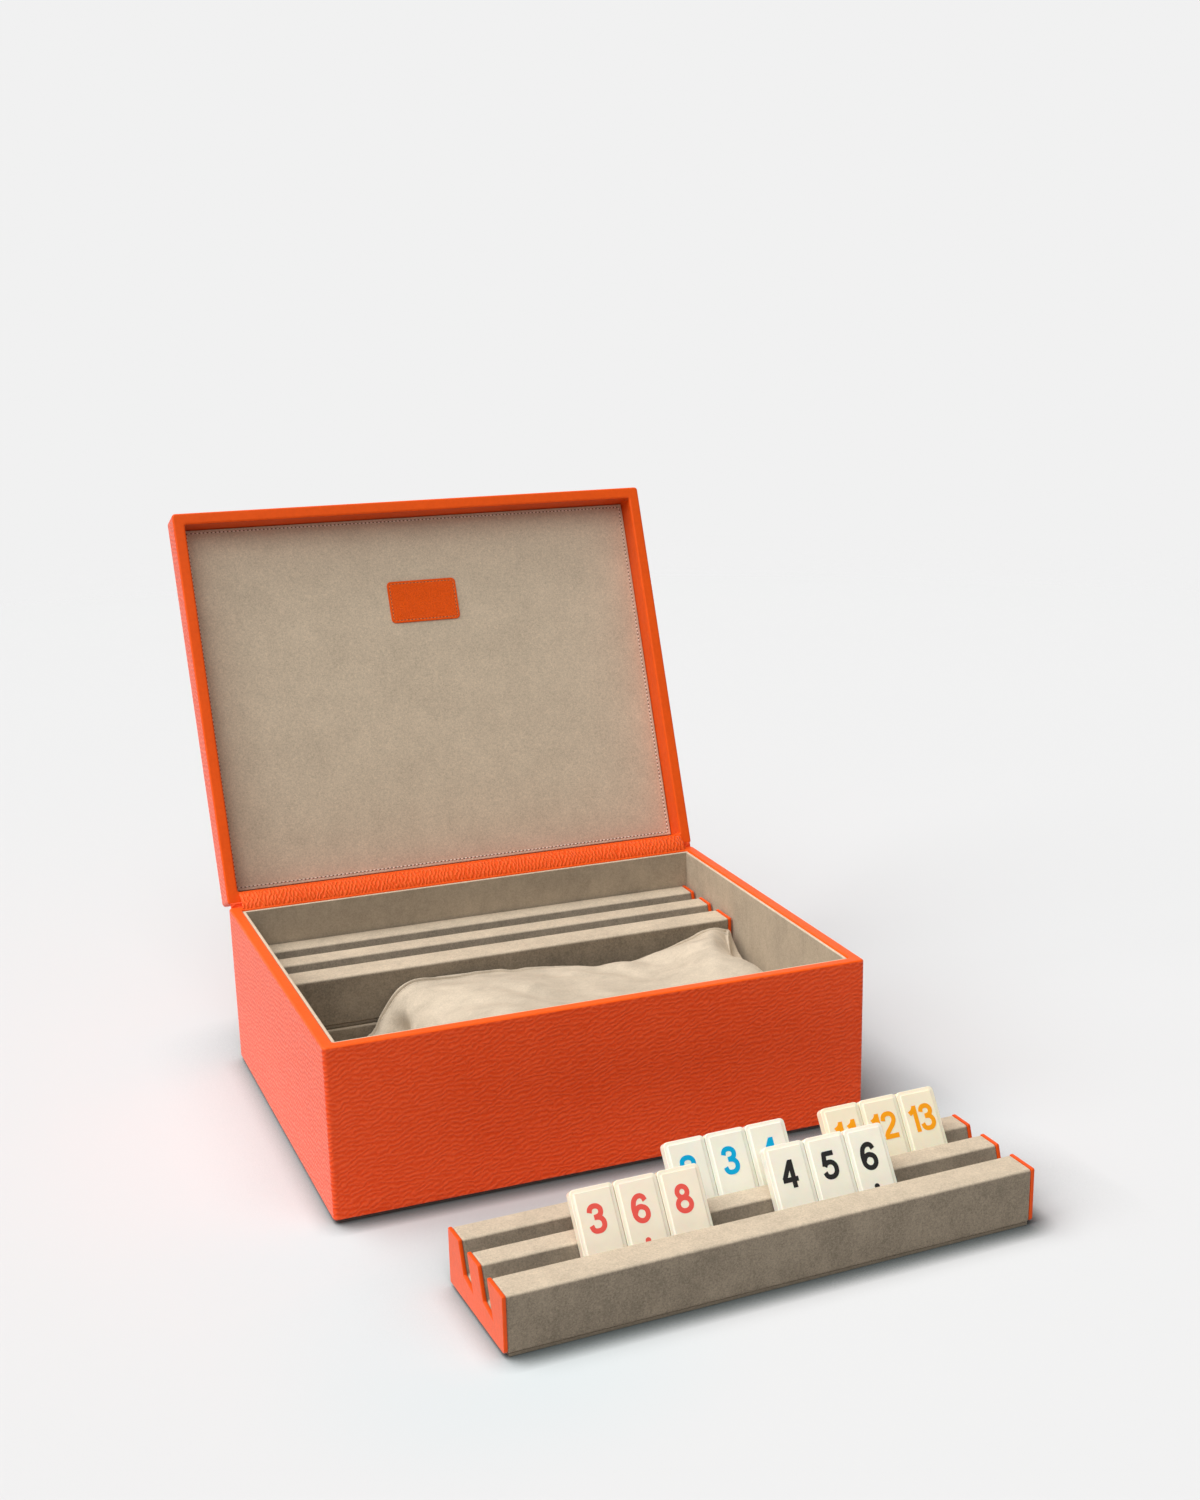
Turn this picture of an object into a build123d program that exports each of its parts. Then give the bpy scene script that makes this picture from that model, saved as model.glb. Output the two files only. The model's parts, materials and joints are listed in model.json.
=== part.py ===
"""Leather games case for a set of rummy tiles, open, with four tile racks, a tile pouch and twelve tiles.

Millimetres, +Z up. The origin is the middle of the case's underside, +X runs along the case's front to
the right, and +Y runs from the front of the case to its hinge. The lid is drawn shut and then opened.
"""

from math import cos, hypot, radians, sin, tan
import os

from build123d import *

os.makedirs("parts", exist_ok=True)

# ---------------------------------------------------------------------------------------------
# Driving dimensions
# ---------------------------------------------------------------------------------------------

# Case: boards wrapped in leather, lined with thin suede-covered boards
case_width = 330.0
case_depth = 260.0
case_height = 105.5
base_sheet_thickness = 2.5
base_sheet_inset = 1.8
leather = 1.0
wall_board = 5.3
bottom_board = 7.0
lining_board = 2.0
lining_drop = 0.7
turn_in_depth = 20.0
turn_under_width = 14.0
case_corner_radius = 2.5
rim_edge_bevel = 0.8

# Lid: a shallow tray of the same plan as the case
lid_height = 24.0
lid_top_board = 4.5
lid_rail_board = 5.6
lid_panel_board = 2.0
lid_corner_radius = 3.5
lid_edge_radius = 1.2
lid_gap = 0.4
lid_open_angle = 111.0
panel_clearance = 0.3
panel_edge_radius = 0.6
label_width = 49.0
label_height = 29.0
label_thickness = 0.8
label_corner_radius = 3.0
label_edge_bevel = 0.3
label_from_hinge = 193.0

# Leather hinges: an outer spine that turns on the hinge axis and an inner strip that stops the lid
hinge_axis_behind = 0.9
hinge_axis_above = 0.9
spine_leather = 0.8
spine_leg = 15.0
spine_side_margin = 1.5
strip_leather = 1.0
strip_leg = 18.0
strip_side_gap = 0.5

# Racks: a suede-covered grooved beam between two leather-covered ends, on a thin base board
rack_end_gap = 1.2
rack_depth = 80.0
rack_height = 34.0
rack_base_board = 2.2
rack_base_end_inset = 2.8
rack_base_side_inset = 0.8
rack_end_board = 2.2
rack_suede_relief = 0.25
rack_end_edge_radius = 1.2
rack_rib_edge_radius = 1.8
rack_foot_radius = 2.5
front_rib_width = 22.0
slot_pitch = 29.0
slot_front_depth = 20.0
slot_wall_lean = 19.5
slot_floor_rise = 11.4

# Tiles
tile_width = 24.1
tile_height = 48.0
tile_thickness = 6.3
tile_gap = 0.3
tile_lean = 33.5
tile_corner_radius = 2.6
tile_bevel_width = 1.5
tile_bevel_depth = 0.8
tile_seat_gap = 0.15
tile_rest_gap = 0.2

# Where the racks stand
rack_side_gap = 0.4
stack_gap = 0.2
front_rack_left = -122.7
front_rack_front = -299.7
front_rack_turn = 2.1

# Groups of tiles in each slot of the front rack, from the left, with the space between the groups and
# the share of the slot's free length that lies to their left
slot_groups = {
    "front": {"red": (3, 6, 8), "black": (4, 5, 6)},
    "back": {"blue": (2, 3, 4), "orange": (11, 12, 13)},
}
group_space = {"front": 37.8, "back": 22.7}
free_share_left = {"front": 0.4255, "back": 0.852}

# Pouch: it lies over the fourth rack and fills the well between that rack and the stacked pair
pouch_left_gap = 43.7
pouch_right_gap = 4.7
pouch_crest = ((0.07, 34.5), (0.175, 55.5), (0.426, 58.5), (0.616, 53.5), (0.806, 60.5), (0.95, 72.5))
pouch_right_shoulder = 56.5
pouch_front_height = 53.5
pouch_back_height = 73.5
pouch_clearance = 1.0
pouch_seat_gap = 0.3
pouch_foot_radius = 6.0
pouch_front_radius = 12.0
pouch_back_radius = 16.0

# ---------------------------------------------------------------------------------------------
# Worked out from the driving dimensions
# ---------------------------------------------------------------------------------------------

case_rim = leather + wall_board + leather
floor_board_bottom = base_sheet_thickness + leather
floor_board_top = floor_board_bottom + bottom_board
floor_top = floor_board_top + lining_board
lining_top = case_height - lining_drop
well_half_width = case_width / 2 - case_rim - lining_board
well_front = -(case_depth / 2 - case_rim - lining_board)
well_back = case_depth / 2 - case_rim - strip_leather - lining_board
rack_length = 2 * (well_half_width - rack_end_gap)

lid_rim = leather + lid_rail_board + leather
lid_bottom = case_height + lid_gap
lid_top = lid_bottom + lid_height
lid_board_bottom = lid_top - leather - lid_top_board
lid_panel_face = lid_board_bottom - lid_panel_board

hinge_y = case_depth / 2 + hinge_axis_behind
hinge_z = case_height + hinge_axis_above
hinge_axis = Axis((0, hinge_y, hinge_z), (1, 0, 0))

# The seat of a tile in a slot: its front foot on the leaning front wall, its back foot on the floor
lean = radians(tile_lean)
wall_slope = tan(radians(slot_wall_lean))
floor_slope = tan(radians(slot_floor_rise))
foot_rise = tile_thickness * (sin(lean) + cos(lean) * floor_slope) / (1 - wall_slope * floor_slope)
slot_floor_y = front_rib_width - slot_front_depth * wall_slope
slot_floor_z = rack_height - slot_front_depth
tile_foot_y = slot_floor_y + foot_rise * wall_slope + tile_seat_gap
tile_foot_z = slot_floor_z + foot_rise + tile_seat_gap
rib_above_foot = rack_height - tile_foot_z
tile_reach = rib_above_foot * sin(lean) + tile_thickness + tile_rest_gap
slot_mouth = tile_foot_y + tile_reach / cos(lean) - front_rib_width


def block(x0, x1, y0, y1, z0, z1):
    """A box between two corners."""
    size = (x1 - x0, y1 - y0, z1 - z0)
    middle = ((x0 + x1) / 2, (y0 + y1) / 2, (z0 + z1) / 2)
    return Pos(*middle) * Box(*size)


def rounded_block(width, depth, radius, z0, z1):
    """A box about the Z axis with rounded upright corners."""
    return Pos(0, 0, z0) * extrude(RectangleRounded(width, depth, radius), z1 - z0)


def opened(shape):
    """A lid piece, drawn on the shut lid, turned back about the hinge axis."""
    return shape.rotate(hinge_axis, -lid_open_angle)


def opened_point(y, z):
    """Where a point of the shut lid goes, in the YZ plane, when the lid is open."""
    turn = radians(-lid_open_angle)
    dy, dz = y - hinge_y, z - hinge_z
    return hinge_y + dy * cos(turn) - dz * sin(turn), hinge_z + dy * sin(turn) + dz * cos(turn)


def save(name, shape):
    """Write one named piece to its own file."""
    shape.label = name
    export_step(shape, os.path.join("parts", name + ".step"))


# ---------------------------------------------------------------------------------------------
# Case
# ---------------------------------------------------------------------------------------------


def case_leather_cover():
    """The skin of the case: outside, over the rim, down inside the walls and under the bottom board."""
    bottom, top = base_sheet_thickness, case_height
    skin = rounded_block(case_width, case_depth, case_corner_radius, bottom, top)
    skin = chamfer(skin.faces().sort_by(Axis.Z)[-1].edges(), rim_edge_bevel)
    half_x, half_y = case_width / 2, case_depth / 2
    core_x, core_y = half_x - leather, half_y - leather
    skin -= block(-core_x, core_x, -core_y, core_y, bottom + leather, top - leather)
    mouth_x, mouth_y = half_x - case_rim, half_y - case_rim
    inside_x, inside_y = mouth_x + leather, mouth_y + leather
    turn_in = block(-inside_x, inside_x, -inside_y, inside_y, top - turn_in_depth, top - leather)
    skin += turn_in
    skin -= block(-mouth_x, mouth_x, -mouth_y, mouth_y, bottom + leather, top)
    open_x, open_y = half_x - turn_under_width, half_y - turn_under_width
    skin -= block(-open_x, open_x, -open_y, open_y, 0, bottom + leather)
    return skin


def case_walls():
    """Four boards inside the leather, the side ones between the front and the back one."""
    half_x = case_width / 2 - leather
    half_y = case_depth / 2 - leather
    z0, z1 = floor_board_bottom, case_height - leather
    side_y = half_y - wall_board
    return {
        "case_front_board": block(-half_x, half_x, -half_y, -side_y, z0, z1),
        "case_back_board": block(-half_x, half_x, side_y, half_y, z0, z1),
        "case_left_board": block(-half_x, wall_board - half_x, -side_y, side_y, z0, z1),
        "case_right_board": block(half_x - wall_board, half_x, -side_y, side_y, z0, z1),
    }


def case_bottom_board():
    """The bottom board, held between the walls on the turned-under leather."""
    half_x = case_width / 2 - leather - wall_board
    half_y = case_depth / 2 - leather - wall_board
    return block(-half_x, half_x, -half_y, half_y, floor_board_bottom, floor_board_top)


def case_linings():
    """Suede-covered boards that stand on the bottom board, and one that lies between them."""
    x1 = case_width / 2 - case_rim
    y0 = -(case_depth / 2 - case_rim)
    y1 = case_depth / 2 - case_rim - strip_leather
    z0, z1 = floor_board_top, lining_top
    return {
        "case_front_lining": block(-x1, x1, y0, well_front, z0, z1),
        "case_back_lining": block(-x1, x1, well_back, y1, z0, z1),
        "case_left_lining": block(-x1, -well_half_width, well_front, well_back, z0, z1),
        "case_right_lining": block(well_half_width, x1, well_front, well_back, z0, z1),
        "case_floor_lining": block(
            -well_half_width, well_half_width, well_front, well_back, z0, floor_top
        ),
    }


def case_base_sheet():
    """The thin sheet under the case that it stands on."""
    width = case_width - 2 * base_sheet_inset
    depth = case_depth - 2 * base_sheet_inset
    return rounded_block(width, depth, case_corner_radius, 0, base_sheet_thickness)


# ---------------------------------------------------------------------------------------------
# Lid, drawn shut
# ---------------------------------------------------------------------------------------------


def lid_leather_cover():
    """The skin of the lid: over the top, down the sides, under the rim and up the inside walls."""
    skin = rounded_block(case_width, case_depth, lid_corner_radius, lid_bottom, lid_top)
    skin = fillet(skin.faces().sort_by(Axis.Z)[-1].edges(), lid_edge_radius)
    skin = chamfer(skin.faces().sort_by(Axis.Z)[0].edges(), rim_edge_bevel)
    half_x, half_y = case_width / 2, case_depth / 2
    core_x, core_y = half_x - leather, half_y - leather
    skin -= block(-core_x, core_x, -core_y, core_y, lid_bottom + leather, lid_top - leather)
    mouth_x, mouth_y = half_x - lid_rim, half_y - lid_rim
    inside_x, inside_y = mouth_x + leather, mouth_y + leather
    skin += block(-inside_x, inside_x, -inside_y, inside_y, lid_bottom + leather, lid_board_bottom)
    skin -= block(-mouth_x, mouth_x, -mouth_y, mouth_y, lid_bottom, lid_board_bottom)
    return skin


def lid_rails():
    """Four rails under the lid's top board, inside the leather."""
    half_x = case_width / 2 - leather
    half_y = case_depth / 2 - leather
    side_y = half_y - lid_rail_board
    z0, z1 = lid_bottom + leather, lid_board_bottom
    return {
        "lid_front_rail": block(-half_x, half_x, -half_y, -side_y, z0, z1),
        "lid_back_rail": block(-half_x, half_x, side_y, half_y, z0, z1),
        "lid_left_rail": block(-half_x, lid_rail_board - half_x, -side_y, side_y, z0, z1),
        "lid_right_rail": block(half_x - lid_rail_board, half_x, -side_y, side_y, z0, z1),
    }


def lid_top_panel():
    """The board that fills the top of the lid, inside the leather."""
    half_x = case_width / 2 - leather
    half_y = case_depth / 2 - leather
    return block(-half_x, half_x, -half_y, half_y, lid_board_bottom, lid_top - leather)


def lid_suede_panel():
    """The suede-covered board in the lid, between the inside walls and the hinge strip."""
    half_x = case_width / 2 - lid_rim - panel_clearance
    y0 = -(case_depth / 2 - lid_rim - panel_clearance)
    y1 = case_depth / 2 - lid_rim - strip_leather - panel_clearance
    panel = block(-half_x, half_x, y0, y1, lid_panel_face, lid_board_bottom)
    return fillet(panel.faces().sort_by(Axis.Z)[0].edges(), panel_edge_radius)


def lid_label_patch():
    """The bare leather patch on the suede panel."""
    middle_y = case_depth / 2 - label_from_hinge
    z0 = lid_panel_face - label_thickness
    patch = extrude(RectangleRounded(label_width, label_height, label_corner_radius), label_thickness)
    patch = chamfer(patch.faces().sort_by(Axis.Z)[0].edges(), label_edge_bevel)
    return Pos(0, middle_y, z0) * patch


# ---------------------------------------------------------------------------------------------
# Leather hinges, drawn with the lid open
# ---------------------------------------------------------------------------------------------


def ribbon(line, thickness, half_width):
    """A strip of leather of one thickness on the left of a line of points in the YZ plane, run along X."""
    edge = []
    for index, (y, z) in enumerate(line):
        before = line[max(index - 1, 0)]
        after = line[min(index + 1, len(line) - 1)]
        here = line[index]
        normals = []
        for start, end in ((before, here), (here, after)):
            dy, dz = end[0] - start[0], end[1] - start[1]
            length = hypot(dy, dz)
            if length > 0:
                normals.append((-dz / length, dy / length))
        first, last = normals[0], normals[-1]
        scale = thickness / (1 + first[0] * last[0] + first[1] * last[1])
        edge.append((y + (first[0] + last[0]) * scale, z + (first[1] + last[1]) * scale))
    outline = Polyline(*line, *reversed(edge), close=True)
    return Pos(-half_width, 0, 0) * extrude(Plane.YZ * make_face(outline), 2 * half_width)


def hinge_strip():
    """The inner hinge: glued behind the back lining and in the lid, and taut between the two rims."""
    rim_y = case_depth / 2 - case_rim
    lid_y = case_depth / 2 - lid_rim
    line = [
        (rim_y, case_height - strip_leg),
        (rim_y, case_height),
        opened_point(lid_y, lid_bottom),
        opened_point(lid_y, lid_board_bottom),
    ]
    half_width = case_width / 2 - max(case_rim, lid_rim) - strip_side_gap
    return ribbon(line, strip_leather, half_width)


def hinge_spine():
    """The outer hinge: glued down the backs of the case and of the lid, and folded at the hinge axis."""
    back = case_depth / 2
    line = [
        opened_point(back, lid_bottom + spine_leg),
        opened_point(back, lid_bottom),
        (back, case_height),
        (back, case_height - spine_leg),
    ]
    return ribbon(line, spine_leather, case_width / 2 - spine_side_margin)


# ---------------------------------------------------------------------------------------------
# Racks, drawn with the left front foot at the origin
# ---------------------------------------------------------------------------------------------


def rack_section(relief, rib_radius, foot_radius=None):
    """The section of a rack: three flat-topped ribs and two slots whose walls lean back."""
    low, high = rack_base_board, rack_height - relief
    back_depth = slot_front_depth - (slot_mouth * floor_slope) / (1 - wall_slope * floor_slope)
    outline = [(relief, low), (relief, high)]
    for slot in range(2):
        y = front_rib_width + slot * slot_pitch
        outline += [
            (y - relief - relief * wall_slope, high),
            (y - relief - slot_front_depth * wall_slope, rack_height - slot_front_depth - relief),
            (y + slot_mouth + relief - back_depth * wall_slope, rack_height - back_depth - relief),
            (y + slot_mouth + relief - relief * wall_slope, high),
        ]
    outline += [(rack_depth - relief, high), (rack_depth - relief, low)]
    section = make_face(Polyline(*outline, close=True))
    tops = section.vertices().filter_by(lambda v: abs(v.Y - high) < 0.01)
    section = fillet(tops, rib_radius)
    if foot_radius is None:
        return section
    feet = section.vertices().filter_by(lambda v: abs(v.Y - low) < 0.01).sort_by(Axis.X)
    return fillet(feet[0], foot_radius)


def rack_pieces():
    """The four pieces of one rack: grooved core, two ends and base board."""
    end_section = rack_section(0, rack_end_edge_radius, rack_foot_radius)
    end = extrude(Plane.YZ * end_section, rack_end_board)
    core_section = rack_section(rack_suede_relief, rack_rib_edge_radius)
    core = extrude(Plane.YZ * core_section, rack_length - 2 * rack_end_board)
    base = block(
        rack_base_end_inset,
        rack_length - rack_base_end_inset,
        rack_base_side_inset,
        rack_depth - rack_base_side_inset,
        0,
        rack_base_board,
    )
    return {
        "core": Pos(rack_end_board, 0, 0) * core,
        "left_end": end,
        "right_end": Pos(rack_length - rack_end_board, 0, 0) * end,
        "base_board": base,
    }


def rack_places():
    """Where each rack stands: one on the table, two stacked at the back and one under the pouch."""
    left = -rack_length / 2
    back_row = well_back - rack_side_gap - rack_depth
    front_row = well_front + rack_side_gap
    return {
        "front_rack": Pos(front_rack_left, front_rack_front, 0) * Rot(0, 0, front_rack_turn),
        "lower_rack": Pos(left, back_row, floor_top),
        "upper_rack": Pos(left, back_row, floor_top + rack_height + stack_gap),
        "pouch_rack": Pos(left, front_row, floor_top),
    }


# ---------------------------------------------------------------------------------------------
# Tiles and pouch
# ---------------------------------------------------------------------------------------------


def tile_blank():
    """One tile, standing with its lower front left corner at the origin and its face towards -Y."""
    plan = Pos(tile_width / 2, tile_height / 2) * RectangleRounded(
        tile_width, tile_height, tile_corner_radius
    )
    tile = extrude(Plane.XZ * plan, -tile_thickness)
    face_edges = tile.faces().sort_by(Axis.Y)[0].edges()
    return chamfer(face_edges, tile_bevel_depth, tile_bevel_width)


def tiles(front_rack_place):
    """The tiles that lean in the two slots of the front rack, in groups that touch side by side."""
    blank = Rot(-tile_lean, 0, 0) * tile_blank()
    pitch = tile_width + tile_gap
    placed = {}
    for row, (slot, groups) in enumerate(slot_groups.items()):
        filled = sum(len(numbers) * pitch for numbers in groups.values())
        filled += (len(groups) - 1) * group_space[slot]
        along = (rack_length - filled) * free_share_left[slot]
        for colour, numbers in groups.items():
            for number in numbers:
                seat = Pos(along, tile_foot_y + row * slot_pitch, tile_foot_z)
                placed[f"tile_{colour}_{number}"] = front_rack_place * seat * blank
                along += pitch
            along += group_space[slot]
    return placed


def pouch_length_profile():
    """The pouch seen from the front: a slumped left end, a sagging middle and a raised right corner."""
    left = pouch_left_gap - well_half_width
    right = well_half_width - pouch_right_gap
    foot = floor_top + pouch_seat_gap
    crest_points = [(left + share * (right - left), floor_top + height) for share, height in pouch_crest]
    crest = Spline((left, foot), *crest_points, (right, floor_top + pouch_right_shoulder))
    sides = Polyline(crest @ 1, (right, foot), (left, foot))
    return make_face(crest + sides)


def pouch_cross_section():
    """The pouch seen from the side: a step over the fourth rack that reaches the floor behind it."""
    front = well_front + pouch_clearance
    back = well_back - rack_side_gap - rack_depth - pouch_clearance
    step_y = well_front + rack_side_gap + rack_depth + pouch_clearance
    step_z = floor_top + rack_height + pouch_seat_gap
    foot = floor_top + pouch_seat_gap
    front_top = floor_top + pouch_front_height
    back_top = floor_top + pouch_back_height
    section = make_face(
        Polyline(
            (front, step_z),
            (front, front_top),
            (back, back_top),
            (back, foot),
            (step_y, foot),
            (step_y, step_z),
            close=True,
        )
    )
    rounded = (
        ((front, step_z), pouch_foot_radius),
        ((front, front_top), pouch_front_radius),
        ((back, back_top), pouch_back_radius),
        ((back, foot), pouch_foot_radius),
        ((step_y, foot), pouch_foot_radius),
    )
    for (y, z), radius in rounded:
        section = fillet(section.vertices().sort_by_distance((y, z, 0))[0], radius)
    return section


def pouch():
    """The filled pouch: its two outlines, each run through the other."""
    lengthwise = extrude(Plane.XZ * pouch_length_profile(), case_depth, both=True)
    across = extrude(Plane.YZ * pouch_cross_section(), case_width, both=True)
    return lengthwise & across


# ---------------------------------------------------------------------------------------------
# Write every piece
# ---------------------------------------------------------------------------------------------

save("case_leather_cover", case_leather_cover())
save("case_bottom_board", case_bottom_board())
save("case_base_sheet", case_base_sheet())
for name, shape in {**case_walls(), **case_linings()}.items():
    save(name, shape)

save("lid_leather_cover", opened(lid_leather_cover()))
save("lid_top_board", opened(lid_top_panel()))
save("lid_suede_panel", opened(lid_suede_panel()))
save("lid_label_patch", opened(lid_label_patch()))
for name, shape in lid_rails().items():
    save(name, opened(shape))

save("hinge_strip", hinge_strip())
save("hinge_spine", hinge_spine())

rack = rack_pieces()
places = rack_places()
for rack_name, place in places.items():
    for piece_name, shape in rack.items():
        save(f"{rack_name}_{piece_name}", place * shape)

for name, shape in tiles(places["front_rack"]).items():
    save(name, shape)
save("tile_pouch", pouch())
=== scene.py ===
"""Leather rummy case with racks, tiles and a soft pouch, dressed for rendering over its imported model."""

import json
import math

import bmesh
import bpy
from bpy.props import FloatProperty, FloatVectorProperty, PointerProperty
from mathutils import Matrix, Vector, noise


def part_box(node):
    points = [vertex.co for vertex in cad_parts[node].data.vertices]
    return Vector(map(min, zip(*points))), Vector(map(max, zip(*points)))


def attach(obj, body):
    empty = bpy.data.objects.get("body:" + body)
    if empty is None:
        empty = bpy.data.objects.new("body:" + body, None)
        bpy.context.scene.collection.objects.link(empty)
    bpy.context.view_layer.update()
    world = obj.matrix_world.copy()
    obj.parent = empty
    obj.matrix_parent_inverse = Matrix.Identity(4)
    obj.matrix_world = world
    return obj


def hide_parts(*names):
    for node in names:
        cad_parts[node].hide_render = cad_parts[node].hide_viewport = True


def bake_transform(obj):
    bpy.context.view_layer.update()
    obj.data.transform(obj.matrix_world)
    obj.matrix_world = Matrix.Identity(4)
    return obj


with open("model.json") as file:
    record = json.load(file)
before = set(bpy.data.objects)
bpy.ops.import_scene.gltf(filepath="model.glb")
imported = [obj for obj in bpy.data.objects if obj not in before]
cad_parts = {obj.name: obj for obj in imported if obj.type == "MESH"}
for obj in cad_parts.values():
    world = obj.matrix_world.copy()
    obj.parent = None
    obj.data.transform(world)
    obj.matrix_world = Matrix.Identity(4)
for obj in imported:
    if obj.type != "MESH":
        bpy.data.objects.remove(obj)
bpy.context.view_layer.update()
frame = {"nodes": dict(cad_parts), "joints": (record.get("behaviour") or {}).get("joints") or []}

bl_info = {
    "name": "Rummy case",
    "version": (1, 0, 0),
    "blender": (4, 5, 0),
    "location": "View3D > Sidebar > Rummy case",
    "description": "Builds and finishes the pieces of a leather rummy case",
    "category": "Add Mesh",
}

MM = 0.001
JOINTS = {joint["name"]: joint for joint in frame["joints"]}

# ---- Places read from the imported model, in millimetres ----


def node_box(node):
    """Lowest and highest corner of a node, in millimetres."""
    low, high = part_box(node)
    return low / MM, high / MM


CASE_LOW, CASE_HIGH = node_box("case_leather_cover")
LINING_OUTER = Vector((node_box("case_right_lining")[1].x, -node_box("case_front_lining")[0].y))
STRIP_HALF = node_box("hinge_strip")[1].x
SPINE_HALF = node_box("hinge_spine")[1].x
HINGE = Vector(JOINTS["lid_hinge"]["pos_m"]) / MM
LID_OPEN = math.radians(-JOINTS["lid_hinge"]["range_deg"][0])
# The turn that opens a piece drawn on the shut lid
LID_TURN = Matrix.Translation(HINGE) @ Matrix.Rotation(-LID_OPEN, 4, "X") @ Matrix.Translation(-HINGE)
DRAW = Vector(JOINTS["red_3_draw"]["axis"])
# The turn of a tile drawn upright: it leans back, in a rack that stands askew
TILE_TURN = Matrix.Rotation(math.atan2(-DRAW.x, DRAW.y), 4, "Z") @ Matrix.Rotation(-math.acos(DRAW.z), 4, "X")


def box_before(node, turn):
    """Lowest and highest corner of a node as it was before a turn, in millimetres."""
    inverse = turn.inverted()
    points = [inverse @ (vertex.co / MM) for vertex in frame["nodes"][node].data.vertices]
    low = Vector([min(point[axis] for point in points) for axis in range(3)])
    high = Vector([max(point[axis] for point in points) for axis in range(3)])
    return low, high


LID_TOP = box_before("lid_leather_cover", LID_TURN)[1].z
PANEL_BACK = box_before("lid_suede_panel", LID_TURN)[1].z

# ---- Settings ----


def length(name, default, description):
    """A length property in millimetres."""
    return FloatProperty(name=name, description=description, default=default, min=0.0)


def colour(name, default, description):
    """A colour property."""
    return FloatVectorProperty(
        name=name, description=description, default=default, subtype="COLOR", size=3, min=0.0, max=1.0
    )


class CaseSizes(bpy.types.PropertyGroup):
    """Sizes of the dressed pieces."""

    case_corner: length("Case corner", 2.5, "Radius of the case's upright corners, mm")
    lid_corner: length("Lid corner", 2.2, "Radius of the lid's upright corners, mm")
    lid_edge: length("Lid edge", 1.4, "Radius round the top of the lid, mm")
    rim_edge: length("Rim edge", 1.3, "Radius of the leather over the rims, mm")
    skin: length("Leather", 1.0, "Thickness of the covering leather, mm")
    grain: length("Grain", 2.75, "Spacing of the creases in the leather, mm")
    stitch: length("Stitch", 2.7, "Spacing of the stitches round the lid panel, mm")
    stitch_inset: length("Stitch inset", 2.2, "From the panel's edge to its stitches, mm")
    label_stitch: length("Label stitch", 2.5, "Spacing of the stitches round the label, mm")
    tile_step: length("Tile step", 0.5, "How far a tile's face stands over its border, mm")
    tile_border: length("Tile border", 1.5, "Width of the border round a tile's face, mm")
    digit: length("Digit", 15.1, "Height of the numbers on the tiles, mm")
    digit_drop: length("Digit drop", 16.7, "From a tile's top to the middle of its number, mm")
    dot_drop: length("Dot drop", 33.3, "From a tile's top to the dot under a six, mm")


class CaseColours(bpy.types.PropertyGroup):
    """Colours of the finishes, in linear light."""

    leather: colour("Leather", (0.87, 0.076, 0.006), "Orange leather")
    rim: colour("Rim leather", (0.97, 0.100, 0.005), "Leather stretched over the rims")
    suede: colour("Suede", (0.42, 0.345, 0.255), "Taupe suede of the linings and racks")
    pouch: colour("Pouch", (0.55, 0.463, 0.355), "Soft suede of the pouch")
    thread: colour("Thread", (0.90, 0.74, 0.63), "Thread round the lid panel")
    tile: colour("Tile", (0.99, 0.935, 0.80), "Ivory of the tiles")
    red: colour("Red", (0.85, 0.105, 0.080), "Red numbers")
    black: colour("Black", (0.012, 0.011, 0.010), "Black numbers")
    blue: colour("Blue", (0.0, 0.40, 0.72), "Blue numbers")
    orange: colour("Orange", (1.0, 0.38, 0.010), "Orange numbers")
    backdrop: colour("Backdrop", (0.879, 0.879, 0.879), "Floor and background")


# ---- Shader values ----


class Value:
    """One output of a shader node, with arithmetic that adds Math nodes."""

    def __init__(self, finish, socket):
        self.finish = finish
        self.socket = socket

    def math(self, operation, *others, clamp=False):
        return self.finish.add("ShaderNodeMath", [self, *others], operation=operation, use_clamp=clamp)

    def __add__(self, other):
        return self.math("ADD", other)

    __radd__ = __add__

    def __sub__(self, other):
        return self.math("SUBTRACT", other)

    def __rsub__(self, other):
        return self.finish.add("ShaderNodeMath", [other, self], operation="SUBTRACT")

    def __mul__(self, other):
        return self.math("MULTIPLY", other)

    def __truediv__(self, other):
        return self.math("DIVIDE", other)

    def __pow__(self, other):
        return self.math("POWER", other)

    def __abs__(self):
        return self.math("ABSOLUTE")

    def clamped(self):
        """The value held between 0 and 1."""
        return self.math("ADD", 0.0, clamp=True)

    def swing(self, reach):
        """How far the value is from a half, times a reach."""
        return (self - 0.5) * reach

    def step(self, low, high):
        """0 under low, 1 over high and smooth between them."""
        sockets = {"Value": self, "From Min": low, "From Max": high}
        return self.finish.add("ShaderNodeMapRange", sockets, interpolation_type="SMOOTHSTEP")


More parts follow.
